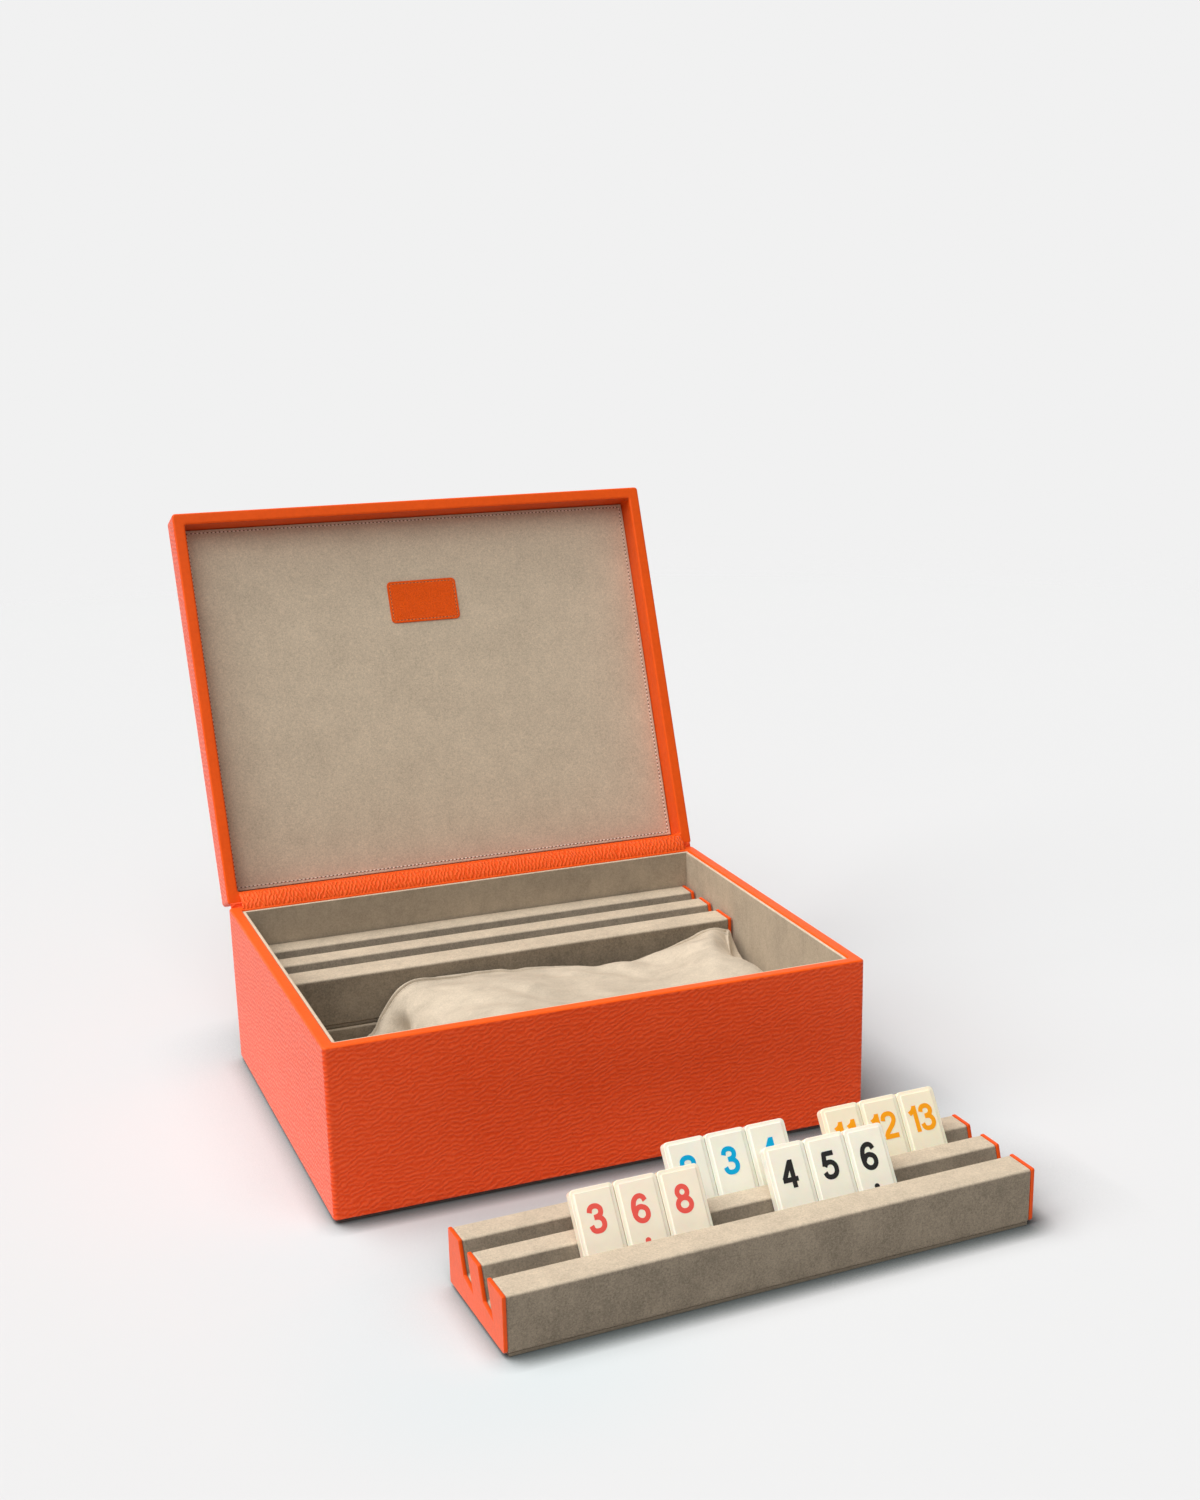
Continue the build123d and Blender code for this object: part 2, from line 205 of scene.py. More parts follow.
class Finish:
    """The nodes of one material or world, built from calls and expressions."""

    def __init__(self, owner):
        owner.use_nodes = True
        self.owner = owner
        self.tree = owner.node_tree
        self.tree.nodes.clear()

    @classmethod
    def named(cls, name):
        """The nodes of a new material."""
        return cls(bpy.data.materials.new(name))

    def add(self, kind, sockets=(), output=0, **settings):
        """Adds a node, sets it up, fills its sockets with values or links and gives one output."""
        node = self.tree.nodes.new(kind)
        for key, value in settings.items():
            setattr(node, key, value)
        for key, value in sockets.items() if isinstance(sockets, dict) else enumerate(sockets):
            if isinstance(value, Value):
                self.tree.links.new(value.socket, node.inputs[key])
            else:
                node.inputs[key].default_value = value
        return Value(self, node.outputs[output]) if node.outputs else node

    def vector(self, operation, *parts, output="Vector"):
        """One step of vector arithmetic."""
        return self.add("ShaderNodeVectorMath", parts, output, operation=operation)

    def place(self, stretch=(1.0, 1.0, 1.0)):
        """The surface point in the object's own coordinates, in millimetres, stretched."""
        point = self.add("ShaderNodeTexCoord", output="Object")
        scale = [1 / (MM * part) for part in stretch]
        return self.add("ShaderNodeMapping", {"Vector": point, "Scale": scale}, vector_type="POINT")

    def facing(self, axis):
        """How far the surface faces along one of the object's axes, from -1 to 1."""
        normal = self.add("ShaderNodeTexCoord", output="Normal")
        return self.add("ShaderNodeSeparateXYZ", [normal], axis)

    def laid_from(self, place, middle, sizes):
        """Distance in the floor plane from a middle, 1 at its sizes."""
        sockets = {"Vector": place, "Location": (*middle, 0.0), "Scale": (*sizes, 1e6)}
        laid = self.add("ShaderNodeMapping", sockets, vector_type="TEXTURE")
        return self.vector("LENGTH", laid, output="Value")

    def beside(self, middle, half, reach):
        """1 beside a box on the floor, falling to 0 at a reach from it."""
        part = self.vector("SUBTRACT", self.place(), (*middle, 0.0))
        axes = [self.add("ShaderNodeSeparateXYZ", [part], axis) for axis in "XY"]
        gaps = [(abs(axis) - size).math("MAXIMUM", 0.0) for axis, size in zip(axes, half)]
        return 1.0 - (gaps[0] * gaps[0] + gaps[1] * gaps[1]).math("SQRT").step(0.0, reach)

    def noise(self, place, size, detail=2.0, roughness=0.5, distortion=0.0):
        """Soft noise from 0 to 1 with features of about one size, in millimetres."""
        sockets = {"Vector": place, "Scale": 1 / size, "Detail": detail, "Roughness": roughness}
        return self.add("ShaderNodeTexNoise", {**sockets, "Distortion": distortion})

    def cells(self, place, size):
        """Distance from the middles of scattered cells of one size, in millimetres."""
        return self.add("ShaderNodeTexVoronoi", {"Vector": place, "Scale": 1 / size, "Randomness": 1.0})

    def blend(self, share, first, second):
        """A colour between two colours."""
        first, second = [(*tone, 1.0) if isinstance(tone, tuple) else tone for tone in (first, second)]
        return self.add("ShaderNodeMix", {0: share, 6: first, 7: second}, 2, data_type="RGBA")

    def tinted(self, tone, light, spread):
        """A tone made darker and lighter by a value about 0.5."""
        return self.blend(light.clamped(), shade(tone, 1.0 - spread), shade(tone, 1.0 + spread))

    def bump(self, height, depth):
        """A bumped normal from a height of 0 to 1 and its depth in millimetres."""
        return self.add("ShaderNodeBump", {"Height": height, "Distance": depth * MM, "Strength": 1.0})

    def surface(self, base, roughness, normal=None, **constants):
        """A Principled surface with its output."""
        sockets = {"Base Color": base, "Roughness": roughness}
        if normal is not None:
            sockets["Normal"] = normal
        for key, value in constants.items():
            sockets[key.replace("_", " ").title().replace("Ior", "IOR")] = value
        shader = self.add("ShaderNodeBsdfPrincipled", sockets)
        self.add("ShaderNodeOutputMaterial", {"Surface": shader})
        return self.owner


def sizes():
    """The set sizes."""
    return bpy.context.scene.rummy_sizes


def shade(base, share):
    """A colour made darker or lighter, by one share or by one for each channel."""
    shares = share if isinstance(share, tuple) else (share,) * 3
    return tuple(min(1.0, part * share) for part, share in zip(base, shares))


def dyed(name, share=1.0):
    """One of the set colours, made darker or lighter."""
    return shade(tuple(getattr(bpy.context.scene.rummy_colours, name)), share)


# ---- Finishes ----

# Directions that the two lots of creases lie across, on the broad faces and on the inner hinge
BROAD_LIES = ((-0.40, 0.15, 0.90), (0.05, -0.25, 0.97))
HINGE_LIES = ((0.95, 0.2, 0.25), (0.92, -0.25, -0.2))
# Size of each noise that leads the creases astray, in spacings, and how many spacings it moves them
CREASE_WANDER = ((7.0, 1.8), (2.6, 1.1), (0.8, 0.75))
# Shares of the base colour in the creases' valleys and on their crests: painted shade and painted highlight
PAINTED_VALLEY_SHADE = (0.88, 0.70, 0.30)
PAINTED_CREST_HIGHLIGHT = (1.08, 1.42, 4.0)
SHEEN_ROUGHNESS = 0.35
NAP_ROUGHNESS = 0.32
NAP = (1.0, 0.86, 0.68, 1.0)
# Ivory of each colour's tiles
TILE_TINTS = {
    "red": (1.0, 0.925, 0.85),
    "black": (0.985, 0.975, 0.94),
    "blue": (0.975, 1.0, 0.99),
    "orange": (1.0, 0.94, 0.82),
}


def creased_leather(name, base, lies, pitch, depth):
    """Leather creased in two lots that cross at a low angle, each lot lying across one direction."""
    make = Finish.named(name)
    place = make.place()
    lots = []
    for lot, across in enumerate(lies):
        run = make.vector("DOT_PRODUCT", place, across, output="Value")
        moved = make.vector("ADD", place, (40.0 * lot, 7.0, 0.0))
        wander = sum(make.noise(moved, pitch * size, 1.0) * reach for size, reach in CREASE_WANDER)
        lots.append(((run / pitch + wander) * math.tau).math("SINE"))
    share = make.noise(place, pitch * 1.8, 1.0).step(0.36, 0.64)
    ripple = (lots[0] * share + lots[1] * (1.0 - share)) * 0.33 + (lots[0] + lots[1]) * 0.14
    wrinkle = make.noise(place, pitch * 0.30, 1.5)
    pores = make.noise(place, 0.4, 1.0)
    drift = make.noise(place, 45.0)
    height = (ripple + 0.5).clamped() ** 1.3 * 0.74 + wrinkle * 0.21 + pores * 0.05
    # Painted light: high parts of the creases are painted paler and low parts darker, standing in for highlight
    # and shade; the drift is a real tone that wanders
    light = 0.5 + (height - 0.45) * 1.1 + drift.swing(0.3)
    tint = make.blend(light.clamped(), shade(base, PAINTED_VALLEY_SHADE), shade(base, PAINTED_CREST_HIGHLIGHT))
    return make.surface(
        tint, 0.50 - height.swing(0.2), make.bump(height, depth),
        ior=1.27, sheen_weight=0.18, sheen_roughness=SHEEN_ROUGHNESS,
    )


def label_leather():
    """Small pebbled leather of the label."""
    make = Finish.named("leather_label")
    place = make.place()
    pebble = make.noise(place, 0.75, 2.0, 0.55).step(0.32, 0.66)
    height = pebble * 0.8 + make.noise(place, 0.35, 1.0) * 0.2
    return make.surface(
        make.tinted(dyed("rim", (1.03, 0.95, 0.4)), 0.2 + height, 0.22), 0.42, make.bump(height, 0.34),
        ior=1.25, sheen_weight=0.5, sheen_roughness=0.5, sheen_tint=(1.0, 0.25, 0.04, 1.0),
    )


def rim_leather(name="leather_rim", share=1.0, sheen=0.12, painted_left_light=1.0):
    """Leather pulled tight over the rims, with painted light: its tone is changed by a factor where it faces
    left.
    """
    make = Finish.named(name)
    tone = dyed("rim", share)
    place = make.place()
    pores = make.cells(place, 0.8)
    soft = make.noise(place, 2.6, 3.0)
    light = 0.5 + soft.swing(0.7) + make.noise(place, 30.0).swing(0.6)
    # Painted light: where the leather faces left its tone is changed by a factor, standing in for the side
    # light it catches
    painted_left_mask = 1.0 - make.facing("X").step(-0.95, -0.55)
    tint = make.blend(painted_left_mask, make.tinted(tone, light, 0.18), make.tinted(shade(tone, painted_left_light), light, 0.18))
    return make.surface(
        tint, 0.40 + pores * 0.08, make.bump(pores * 0.3 + soft * 0.7, 0.10),
        ior=1.27, sheen_weight=sheen, sheen_roughness=SHEEN_ROUGHNESS,
    )


def napped(name, share, upward, clouds, pepper, depth, sheen):
    """Short-napped suede: brushed clouds, peppered fibres, a soft sheen, and painted light that makes it paler
    where it faces up.
    """
    make = Finish.named(name)
    tone = dyed("suede", share)
    place = make.place()
    drift = make.noise(place, 26.0)
    brushed = make.noise(make.place((1.0, 1.0, 1.5)), 8.0, 3.0, 0.6, 0.5)
    speck = make.noise(place, 1.0, 2.0, 0.65)
    fibre = make.noise(place, 0.38, 2.0, 0.7)
    tuft = make.noise(place, 1.9, 2.0, 0.6)
    light = 0.5 + drift.swing(clouds) + brushed.swing(clouds)
    light = light + ((speck - 0.5) + (fibre - 0.5) + tuft.swing(0.5)) * pepper
    height = speck * 0.45 + fibre * 0.35 + tuft * 0.20
    # Painted light: where the suede faces up its tone is made paler by the upward share, standing in for the
    # top light it catches
    painted_top_light_mask = make.facing("Z").step(0.20, 0.90)
    side, top = make.tinted(tone, light, 0.30), make.tinted(shade(tone, upward), light, 0.20)
    return make.surface(
        make.blend(painted_top_light_mask, side, top), 1.0, make.bump(height, depth),
        specular_ior_level=0.1, sheen_weight=sheen, sheen_roughness=NAP_ROUGHNESS, sheen_tint=NAP,
    )


def pouch_suede():
    """The pouch's soft suede, with a line of stitches beside its seam, painted shade in the seam's groove and
    painted shade in its dent.
    """
    make = Finish.named("suede_pouch")
    tone = dyed("pouch")
    place = make.place()
    drift = make.noise(place, 30.0)
    brushed = make.noise(make.place((1.4, 1.0, 1.0)), 11.0, 3.0, 0.6, 0.6)
    speck = make.noise(place, 1.1, 2.0, 0.65)
    fibre = make.noise(place, 0.4, 2.0, 0.7)
    gap, run = [
        make.add("ShaderNodeAttribute", output="Fac", attribute_name=key) for key in ("seam_gap", "seam_run")
    ]
    groove = 1.0 - abs(gap - 3.0).step(0.15, 0.8)
    stitch = (run / 2.6).math("FRACT").step(0.2, 0.35) * groove
    light = 0.5 + drift.swing(0.6) + brushed.swing(0.8) + speck.swing(0.7) + fibre.swing(0.7)
    # Painted shade: the seam's groove is darkened; its stitches are paler thread
    light = light - groove * 0.55 + stitch * 0.35
    # Painted shade in the dent: its middle is darkened towards three tenths of the tone
    pressed = 1.0 - make.laid_from(place, *POUCH_DENT[:2]).step(0.35, 1.15)
    height = speck * 0.14 + fibre * 0.12 + brushed * 0.5 - groove * 0.5
    tint = make.blend(pressed * 0.75, make.tinted(tone, light, 0.30), shade(tone, 0.30))
    return make.surface(
        tint, 1.0, make.bump(height, 0.7),
        specular_ior_level=0.1, sheen_weight=0.5, sheen_roughness=NAP_ROUGHNESS, sheen_tint=NAP,
    )


def fibrous(name, dark, pale, roughness, depth, grain, stretch=(1.0, 1.0, 1.0)):
    """A plain surface between two colours, from one noise of a size, detail and roughness."""
    make = Finish.named(name)
    fibre = make.noise(make.place(stretch), *grain)
    normal = make.bump(fibre, depth) if depth else None
    return make.surface(make.blend(fibre, dark, pale), roughness, normal)


def ivory(name, tint):
    """Polished ivory plastic with faint clouding."""
    make = Finish.named(name)
    tone = dyed("tile", tint)
    cloud = make.noise(make.place(), 9.0)
    fine = make.noise(make.place(), 0.8)
    body = make.blend(cloud.step(0.3, 0.7) * 0.5, tone, shade(tone, 0.94))
    return make.surface(
        body, 0.16 + fine * 0.06, make.bump(cloud, 0.02),
        subsurface_weight=0.25, subsurface_scale=0.004, coat_weight=0.3, coat_roughness=0.08,
    )


def number_paint(name, tone):
    """Glossy number paint."""
    make = Finish.named(name)
    fleck = make.noise(make.place(), 0.7)
    tint = make.blend(fleck * 0.3, tone, shade(tone, 0.85))
    return make.surface(tint, 0.35 + fleck * 0.1, make.bump(fleck, 0.01), specular_ior_level=0.2)


FINISH_MAKERS = {
    "leather": lambda: creased_leather("leather_creased", dyed("leather"), BROAD_LIES, sizes().grain, 0.46),
    "hinge": lambda: creased_leather("leather_hinge", dyed("rim"), HINGE_LIES, 2.5, 0.55),
    "label": label_leather,
    "rim": rim_leather,
    "end": lambda: rim_leather("leather_end", 0.80),
    # The lid's inner walls: painted shade, two thirds of the rim's tone, lifted back by painted light where
    # they face left
    "inside": lambda: rim_leather("leather_inside", 0.66, sheen=0.0, painted_left_light=1.5),
    # Upward is painted light: how much paler each suede is painted where it faces up
    "lining": lambda: napped(
        "suede_lining", 1.04, upward=1.48, clouds=0.6, pepper=0.9, depth=0.12, sheen=0.7
    ),
    "panel": lambda: napped("suede_panel", 1.47, upward=1.0, clouds=0.35, pepper=1.1, depth=0.16, sheen=0.5),
    "rack": lambda: napped("suede_rack", 0.65, upward=2.05, clouds=0.85, pepper=1.5, depth=0.26, sheen=0.8),
    "rack_base": lambda: napped(
        "suede_base", 0.52, upward=1.0, clouds=0.3, pepper=1.0, depth=0.14, sheen=0.4
    ),
    "pouch": pouch_suede,
    "thread": lambda: fibrous("thread", dyed("thread", 0.75), dyed("thread", 1.15), 0.7, 0.04, (0.25,)),
    "label_thread": lambda: fibrous(
        "thread_label", (0.85, 0.16, 0.02), (1.0, 0.34, 0.09), 0.6, 0.04, (0.25,)
    ),
    # Flat dark discs in the needle holes: painted shade
    "hole": lambda: fibrous("needle_hole_painted_shade", (0.09, 0.060, 0.042), (0.17, 0.12, 0.085), 0.9, 0.0, (0.3, 1.0)),
    "felt": lambda: fibrous(
        "felt", (0.030, 0.026, 0.024), (0.10, 0.085, 0.075), 0.95, 0.15, (0.6, 3.0, 0.7)
    ),
    "board": lambda: fibrous(
        "board", (0.34, 0.27, 0.19), (0.50, 0.42, 0.31), 0.85, 0.05, (2.0, 3.0), (1.0, 1.0, 3.0)
    ),
}
for tile_colour, tile_tint in TILE_TINTS.items():
    FINISH_MAKERS[f"tile_{tile_colour}"] = lambda c=tile_colour, t=tile_tint: ivory(f"tile_{c}", t)
    FINISH_MAKERS[f"paint_{tile_colour}"] = lambda c=tile_colour: number_paint(f"paint_{c}", dyed(c))
FINISHES = {}


def finish(name):
    """The material of one name, made on first use."""
    if name not in FINISHES:
        FINISHES[name] = FINISH_MAKERS[name]()
    return FINISHES[name]


# ---- Making pieces ----


def make_piece(name, shape, finishes, smooth=True):
    """A mesh object from a bmesh drawn in millimetres, with its finishes."""
    bmesh.ops.scale(shape, vec=(MM, MM, MM), verts=shape.verts)
    mesh = bpy.data.meshes.new(name)
    shape.to_mesh(mesh)
    shape.free()
    for polygon in mesh.polygons:
        polygon.use_smooth = smooth
    piece = bpy.data.objects.new(name, mesh)
    bpy.context.scene.collection.objects.link(piece)
    for item in finishes if isinstance(finishes, tuple) else (finishes,):
        mesh.materials.append(finish(item))
    return piece


def even_shading(piece):
    """Lets the broad faces of a piece set its shading."""
    modifier(piece, "WEIGHTED_NORMAL", mode="FACE_AREA", weight=60)
    return piece


def settle(piece, body, nodes=()):
    """Ties a piece to its body and hides the nodes that it stands for."""
    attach(piece, body)
    if nodes:
        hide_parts(*nodes)
    return piece


def dress(node, name):
    """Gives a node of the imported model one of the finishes."""
    mesh = frame["nodes"][node].data
    mesh.materials.clear()
    mesh.materials.append(finish(name))


def modifier(piece, kind, **settings):
    """Adds a modifier to a piece."""
    added = piece.modifiers.new(kind.title(), kind)
    for key, value in settings.items():
        setattr(added, key, value)
    return added


def move(shape, matrix):
    """Applies a matrix to a whole shape."""
    bmesh.ops.transform(shape, matrix=matrix, verts=shape.verts)


def cuboid(shape, low, high):
    """Adds a box between two corners."""
    matrix = Matrix.Translation((low + high) / 2) @ Matrix.Diagonal((*(high - low), 1.0))
    bmesh.ops.create_cube(shape, size=1.0, matrix=matrix)


def facing(shape, direction):
    """The face that looks most in a direction."""
    for face in shape.faces:
        face.normal_update()
    return max(shape.faces, key=lambda face: face.normal.dot(direction))


def bevel(shape, geom, radius, segments, affect="EDGES", clamp=True):
    """Rounds edges or corners."""
    bmesh.ops.bevel(
        shape, geom=list(geom), offset=radius, offset_type="OFFSET", segments=segments,
        profile=0.5, affect=affect, material=-1, clamp_overlap=clamp,
    )


def edges_along(shape, axis):
    """The edges that run along an axis."""
    return [edge for edge in shape.edges if abs(edge.verts[0].co[axis] - edge.verts[1].co[axis]) > 0.1]


def turned_edges(shape, z):
    """The edges at one height where the faces beside them meet at a sharp angle."""
    return [
        edge for edge in shape.edges
        if all(abs(vert.co.z - z) < 0.01 for vert in edge.verts) and edge.calc_face_angle(0.0) > 1.0
    ]


def inset(shape, face, *steps):
    """Steps a face inwards by each width, and out or in by the depth that goes with it."""
    for width, depth in steps:
        bmesh.ops.inset_region(
            shape, faces=[face], thickness=width, depth=depth, use_even_offset=True, use_boundary=True
        )


def ring(shape, half_x, half_y, z, radius, keep_face=False):
    """Adds the outline of a rounded rectangle at one height and gives its edges."""
    known = set(shape.verts)
    signs = ((-1, -1), (1, -1), (1, 1), (-1, 1))
    corners = [shape.verts.new((x * half_x, y * half_y, z)) for x, y in signs]
    shape.faces.new(corners)
    bevel(shape, corners, radius, 4, "VERTICES", clamp=False)
    verts = {vert for vert in shape.verts if vert not in known}
    edges = [edge for edge in shape.edges if edge.verts[0] in verts and edge.verts[1] in verts]
    if not keep_face:
        faces = [face for face in shape.faces if face.verts[0] in verts]
        bmesh.ops.delete(shape, geom=faces, context="FACES_ONLY")
    return edges


def skin_between(shape, *rings):
    """Joins outlines, one after the other, with faces."""
    for first, second in zip(rings, rings[1:]):
        bmesh.ops.bridge_loops(shape, edges=[*first, *second])


def mitres(shape, offset, height, depth):
    """Presses a fold into the four corners of a rim, along its diagonals."""
    def on_diagonal(vert):
        return abs(abs(vert.co.x) - abs(vert.co.y) - offset) < 0.02 and abs(vert.co.z - height) < 0.01

    folds = [edge for edge in shape.edges if all(on_diagonal(vert) for vert in edge.verts)]
    fold_verts = {vert for edge in folds for vert in edge.verts}
    middles = [vert.co.copy() for vert in fold_verts]
    bevel(shape, folds, abs(depth), 2, clamp=False)
    for vert in shape.verts:
        if abs(vert.co.z - height) < 0.02 and any((vert.co - middle).length < 0.03 for middle in middles):
            vert.co.z -= depth


def redrawn(mesh, gap=0.01):
    """A bmesh of a mesh, in millimetres, with its doubled points merged."""
    shape = bmesh.new()
    shape.from_mesh(mesh)
    bmesh.ops.scale(shape, vec=(1 / MM, 1 / MM, 1 / MM), verts=shape.verts)
    bmesh.ops.remove_doubles(shape, verts=shape.verts, dist=gap)
    return shape


def softened(node, name, radius, item, body, segments=3):
    """A copy of a node with its sharp edges rounded, which stands for it."""
    shape = redrawn(frame["nodes"][node].data)
    bmesh.ops.dissolve_limit(
        shape, angle_limit=math.radians(1.0), verts=shape.verts, edges=shape.edges,
        use_dissolve_boundaries=False,
    )
    sharp = [
        edge for edge in shape.edges if edge.is_manifold and edge.calc_face_angle(0.0) > math.radians(30.0)
    ]
    bevel(shape, sharp, radius, segments)
    return settle(even_shading(make_piece(name, shape, item)), body, [node])


# ---- Case and lid ----

DOWN = Vector((0.0, 0.0, -1.0))
FORWARD = Vector((0.0, -1.0, 0.0))

LID_GAP = 0.4
LID_RIM = 7.6
TURN_IN = 20.0
TURN_UNDER = 14.0
MOUTH_CORNER = 1.3
FOOT_EDGE = 0.8
MITRE = 0.35
STRIP_LEG = 18.0
SPINE_LEG = 15.0
# How far the middle of the inner hinge stands off a straight line between the rims, in Y and Z
STRIP_SAG = (-1.1, 1.3)
LABEL_CORNER = 3.0
LABEL_STITCH_INSET = 1.7
# Thread and hole of the two lines of stitches
PANEL_SEWING = (1.1, 1.1)
LABEL_SEWING = (0.55, 1.05)
STITCH_TILT = math.radians(5.0)


def finish_skin(name, shape, body, node):
    """Gives a leather skin its finishes and its thickness."""
    bmesh.ops.remove_doubles(shape, verts=shape.verts, dist=0.001)
    bmesh.ops.recalc_face_normals(shape, faces=shape.faces)
    piece = make_piece(name, shape, ("leather", "rim", "inside"))
    modifier(piece, "SOLIDIFY", thickness=sizes().skin * MM, offset=-1.0, use_even_offset=True)
    even_shading(piece)
    return settle(piece, body, [node])


def inside_walls(point, mouth):
    """Whether a point of a skin lies on the inside of its walls."""
    return abs(point.x) < mouth.x + 0.2 and abs(point.y) < mouth.y + 0.2


class RUMMY_OT_boards(bpy.types.Operator):
    """Finish the hidden boards and the base sheet"""

    bl_idname = "rummy.boards"
    bl_label = "Boards and base"

    def execute(self, context):
        for node in frame["nodes"]:
            if node.endswith("_rail") or (node.endswith("_board") and not node.endswith("base_board")):
                dress(node, "board")
        softened("case_base_sheet", "case_base", 0.5, "felt", "case", 2)
        return {"FINISHED"}


class RUMMY_OT_case_leather(bpy.types.Operator):
    """Cover the case in leather, turned in over its rim"""

    bl_idname = "rummy.case_leather"
    bl_label = "Case leather"

    def execute(self, context):
        shape = bmesh.new()
        half, mouth = CASE_HIGH, LINING_OUTER
        top, bottom = CASE_HIGH.z, CASE_LOW.z
        rim_out = ring(shape, half.x, half.y, top, sizes().case_corner)
        rim_in = ring(shape, mouth.x, mouth.y, top, MOUTH_CORNER)
        foot_out = ring(shape, half.x, half.y, bottom, sizes().case_corner)
        foot_in = ring(shape, half.x - TURN_UNDER, half.y - TURN_UNDER, bottom, MOUTH_CORNER)
        inside = ring(shape, mouth.x, mouth.y, top - TURN_IN, MOUTH_CORNER)
        skin_between(shape, foot_in, foot_out, rim_out, rim_in, inside)
        bevel(shape, [*rim_out, *rim_in], sizes().rim_edge, 4)
        bevel(shape, turned_edges(shape, bottom), FOOT_EDGE, 3)
        mitres(shape, half.x - half.y, top, MITRE)
        for face in shape.faces:
            centre = face.calc_center_median()
            face.material_index = int(centre.z > top - 0.6 or inside_walls(centre, mouth))
        finish_skin("case_leather", shape, "case", "case_leather_cover")
        return {"FINISHED"}


class RUMMY_OT_lid_leather(bpy.types.Operator):
    """Cover the lid in leather, turned in over its rim"""

    bl_idname = "rummy.lid_leather"
    bl_label = "Lid leather"

    def execute(self, context):
        shape = bmesh.new()
        rim = CASE_HIGH.z + LID_GAP
        half, mouth = CASE_HIGH, CASE_HIGH - Vector((LID_RIM, LID_RIM, 0.0))
        crown = ring(shape, half.x, half.y, LID_TOP, sizes().lid_corner, keep_face=True)
        rim_out = ring(shape, half.x, half.y, rim, sizes().lid_corner)
        rim_in = ring(shape, mouth.x, mouth.y, rim, MOUTH_CORNER)
        inside = ring(shape, mouth.x, mouth.y, PANEL_BACK, MOUTH_CORNER)
        skin_between(shape, crown, rim_out, rim_in, inside)
        bevel(shape, [*rim_out, *rim_in], sizes().rim_edge, 4)
        bevel(shape, turned_edges(shape, LID_TOP), sizes().lid_edge, 4)
        mitres(shape, half.x - half.y, rim, -MITRE)
        # The lid's inner walls above the rim take the inside finish, whose darker tone is painted shade
        for face in shape.faces:
            centre = face.calc_center_median()
            within = inside_walls(centre, mouth) and centre.z < LID_TOP - 1.0
            face.material_index = 2 if within and centre.z > rim + 0.8 else int(centre.z < rim + 0.6 or within)
        bmesh.ops.recalc_face_normals(shape, faces=shape.faces)
        move(shape, LID_TURN)
        finish_skin("lid_leather", shape, "lid", "lid_leather_cover")
        return {"FINISHED"}


def strap(name, path, half_width, thickness, bend, item):
    """A leather strap along a path across the hinge, rounded by one radius where the path bends."""
    shape = bmesh.new()
    left = [shape.verts.new((-half_width, y, z)) for y, z in path]
    edges = [shape.edges.new(pair) for pair in zip(left, left[1:])]
    made = bmesh.ops.extrude_edge_only(shape, edges=edges)["geom"]
    far = [part for part in made if isinstance(part, bmesh.types.BMVert)]
    bmesh.ops.translate(shape, vec=(2 * half_width, 0.0, 0.0), verts=far)
    bevel(shape, [edge for edge in shape.edges if len(edge.link_faces) == 2], bend, 6)
    bmesh.ops.subdivide_edges(shape, edges=edges_along(shape, 0), cuts=11)
    bmesh.ops.recalc_face_normals(shape, faces=shape.faces)
    piece = make_piece(name, shape, item)
    modifier(piece, "SOLIDIFY", thickness=thickness * MM, offset=-1.0, use_even_offset=True)
    modifier(piece, "BEVEL", width=0.3 * MM, segments=2, limit_method="ANGLE")
    return piece


def shut_point(y, z):
    """Where a point of the shut lid is when the lid is open."""
    point = LID_TURN @ Vector((0.0, y, z))
    return point.y, point.z


class RUMMY_OT_hinges(bpy.types.Operator):
    """Make the leather strips that hinge the lid"""

    bl_idname = "rummy.hinges"
    bl_label = "Hinge strips"

    def execute(self, context):
        top = CASE_HIGH.z
        inner_y = LINING_OUTER.y
        rim = (inner_y, top - 0.5)
        lifted = shut_point(inner_y - 0.3, top + 0.9)
        middle = [(first + last) / 2 + sag for first, last, sag in zip(rim, lifted, STRIP_SAG)]
        path = [(inner_y, top - STRIP_LEG), rim, middle, lifted, shut_point(inner_y - 0.3, PANEL_BACK)]
        band = strap("hinge_band", path, STRIP_HALF, 1.0, 3.2, "hinge")
        self.bend(band, "hinge_strip", (inner_y, top), lifted)
        outer_y = CASE_HIGH.y
        lid_rim = top + LID_GAP
        path = [(outer_y, top - SPINE_LEG), (outer_y, top), shut_point(outer_y, lid_rim)]
        path.append(shut_point(outer_y, lid_rim + SPINE_LEG))
        spine = strap("hinge_back", path, SPINE_HALF, -0.8, 0.15, "leather")
        self.bend(spine, "hinge_spine", (outer_y, top - 0.6), (outer_y + 3.6, top + 1.6))
        return {"FINISHED"}

    def bend(self, piece, node, start, end):
        """Hides the node that a strap stands for and bakes the strap's place into its mesh."""
        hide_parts(node)
        points = [Vector((0.0, *point)) * MM for point in (start, end)]
        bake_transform(piece)


class RUMMY_OT_linings(bpy.types.Operator):
    """Line the case with suede boards"""

    bl_idname = "rummy.linings"
    bl_label = "Case linings"

    def execute(self, context):
        for side in ("front", "back", "left", "right", "floor"):
            softened(f"case_{side}_lining", f"lining_{side}", 0.7, "lining", "case")
        return {"FINISHED"}


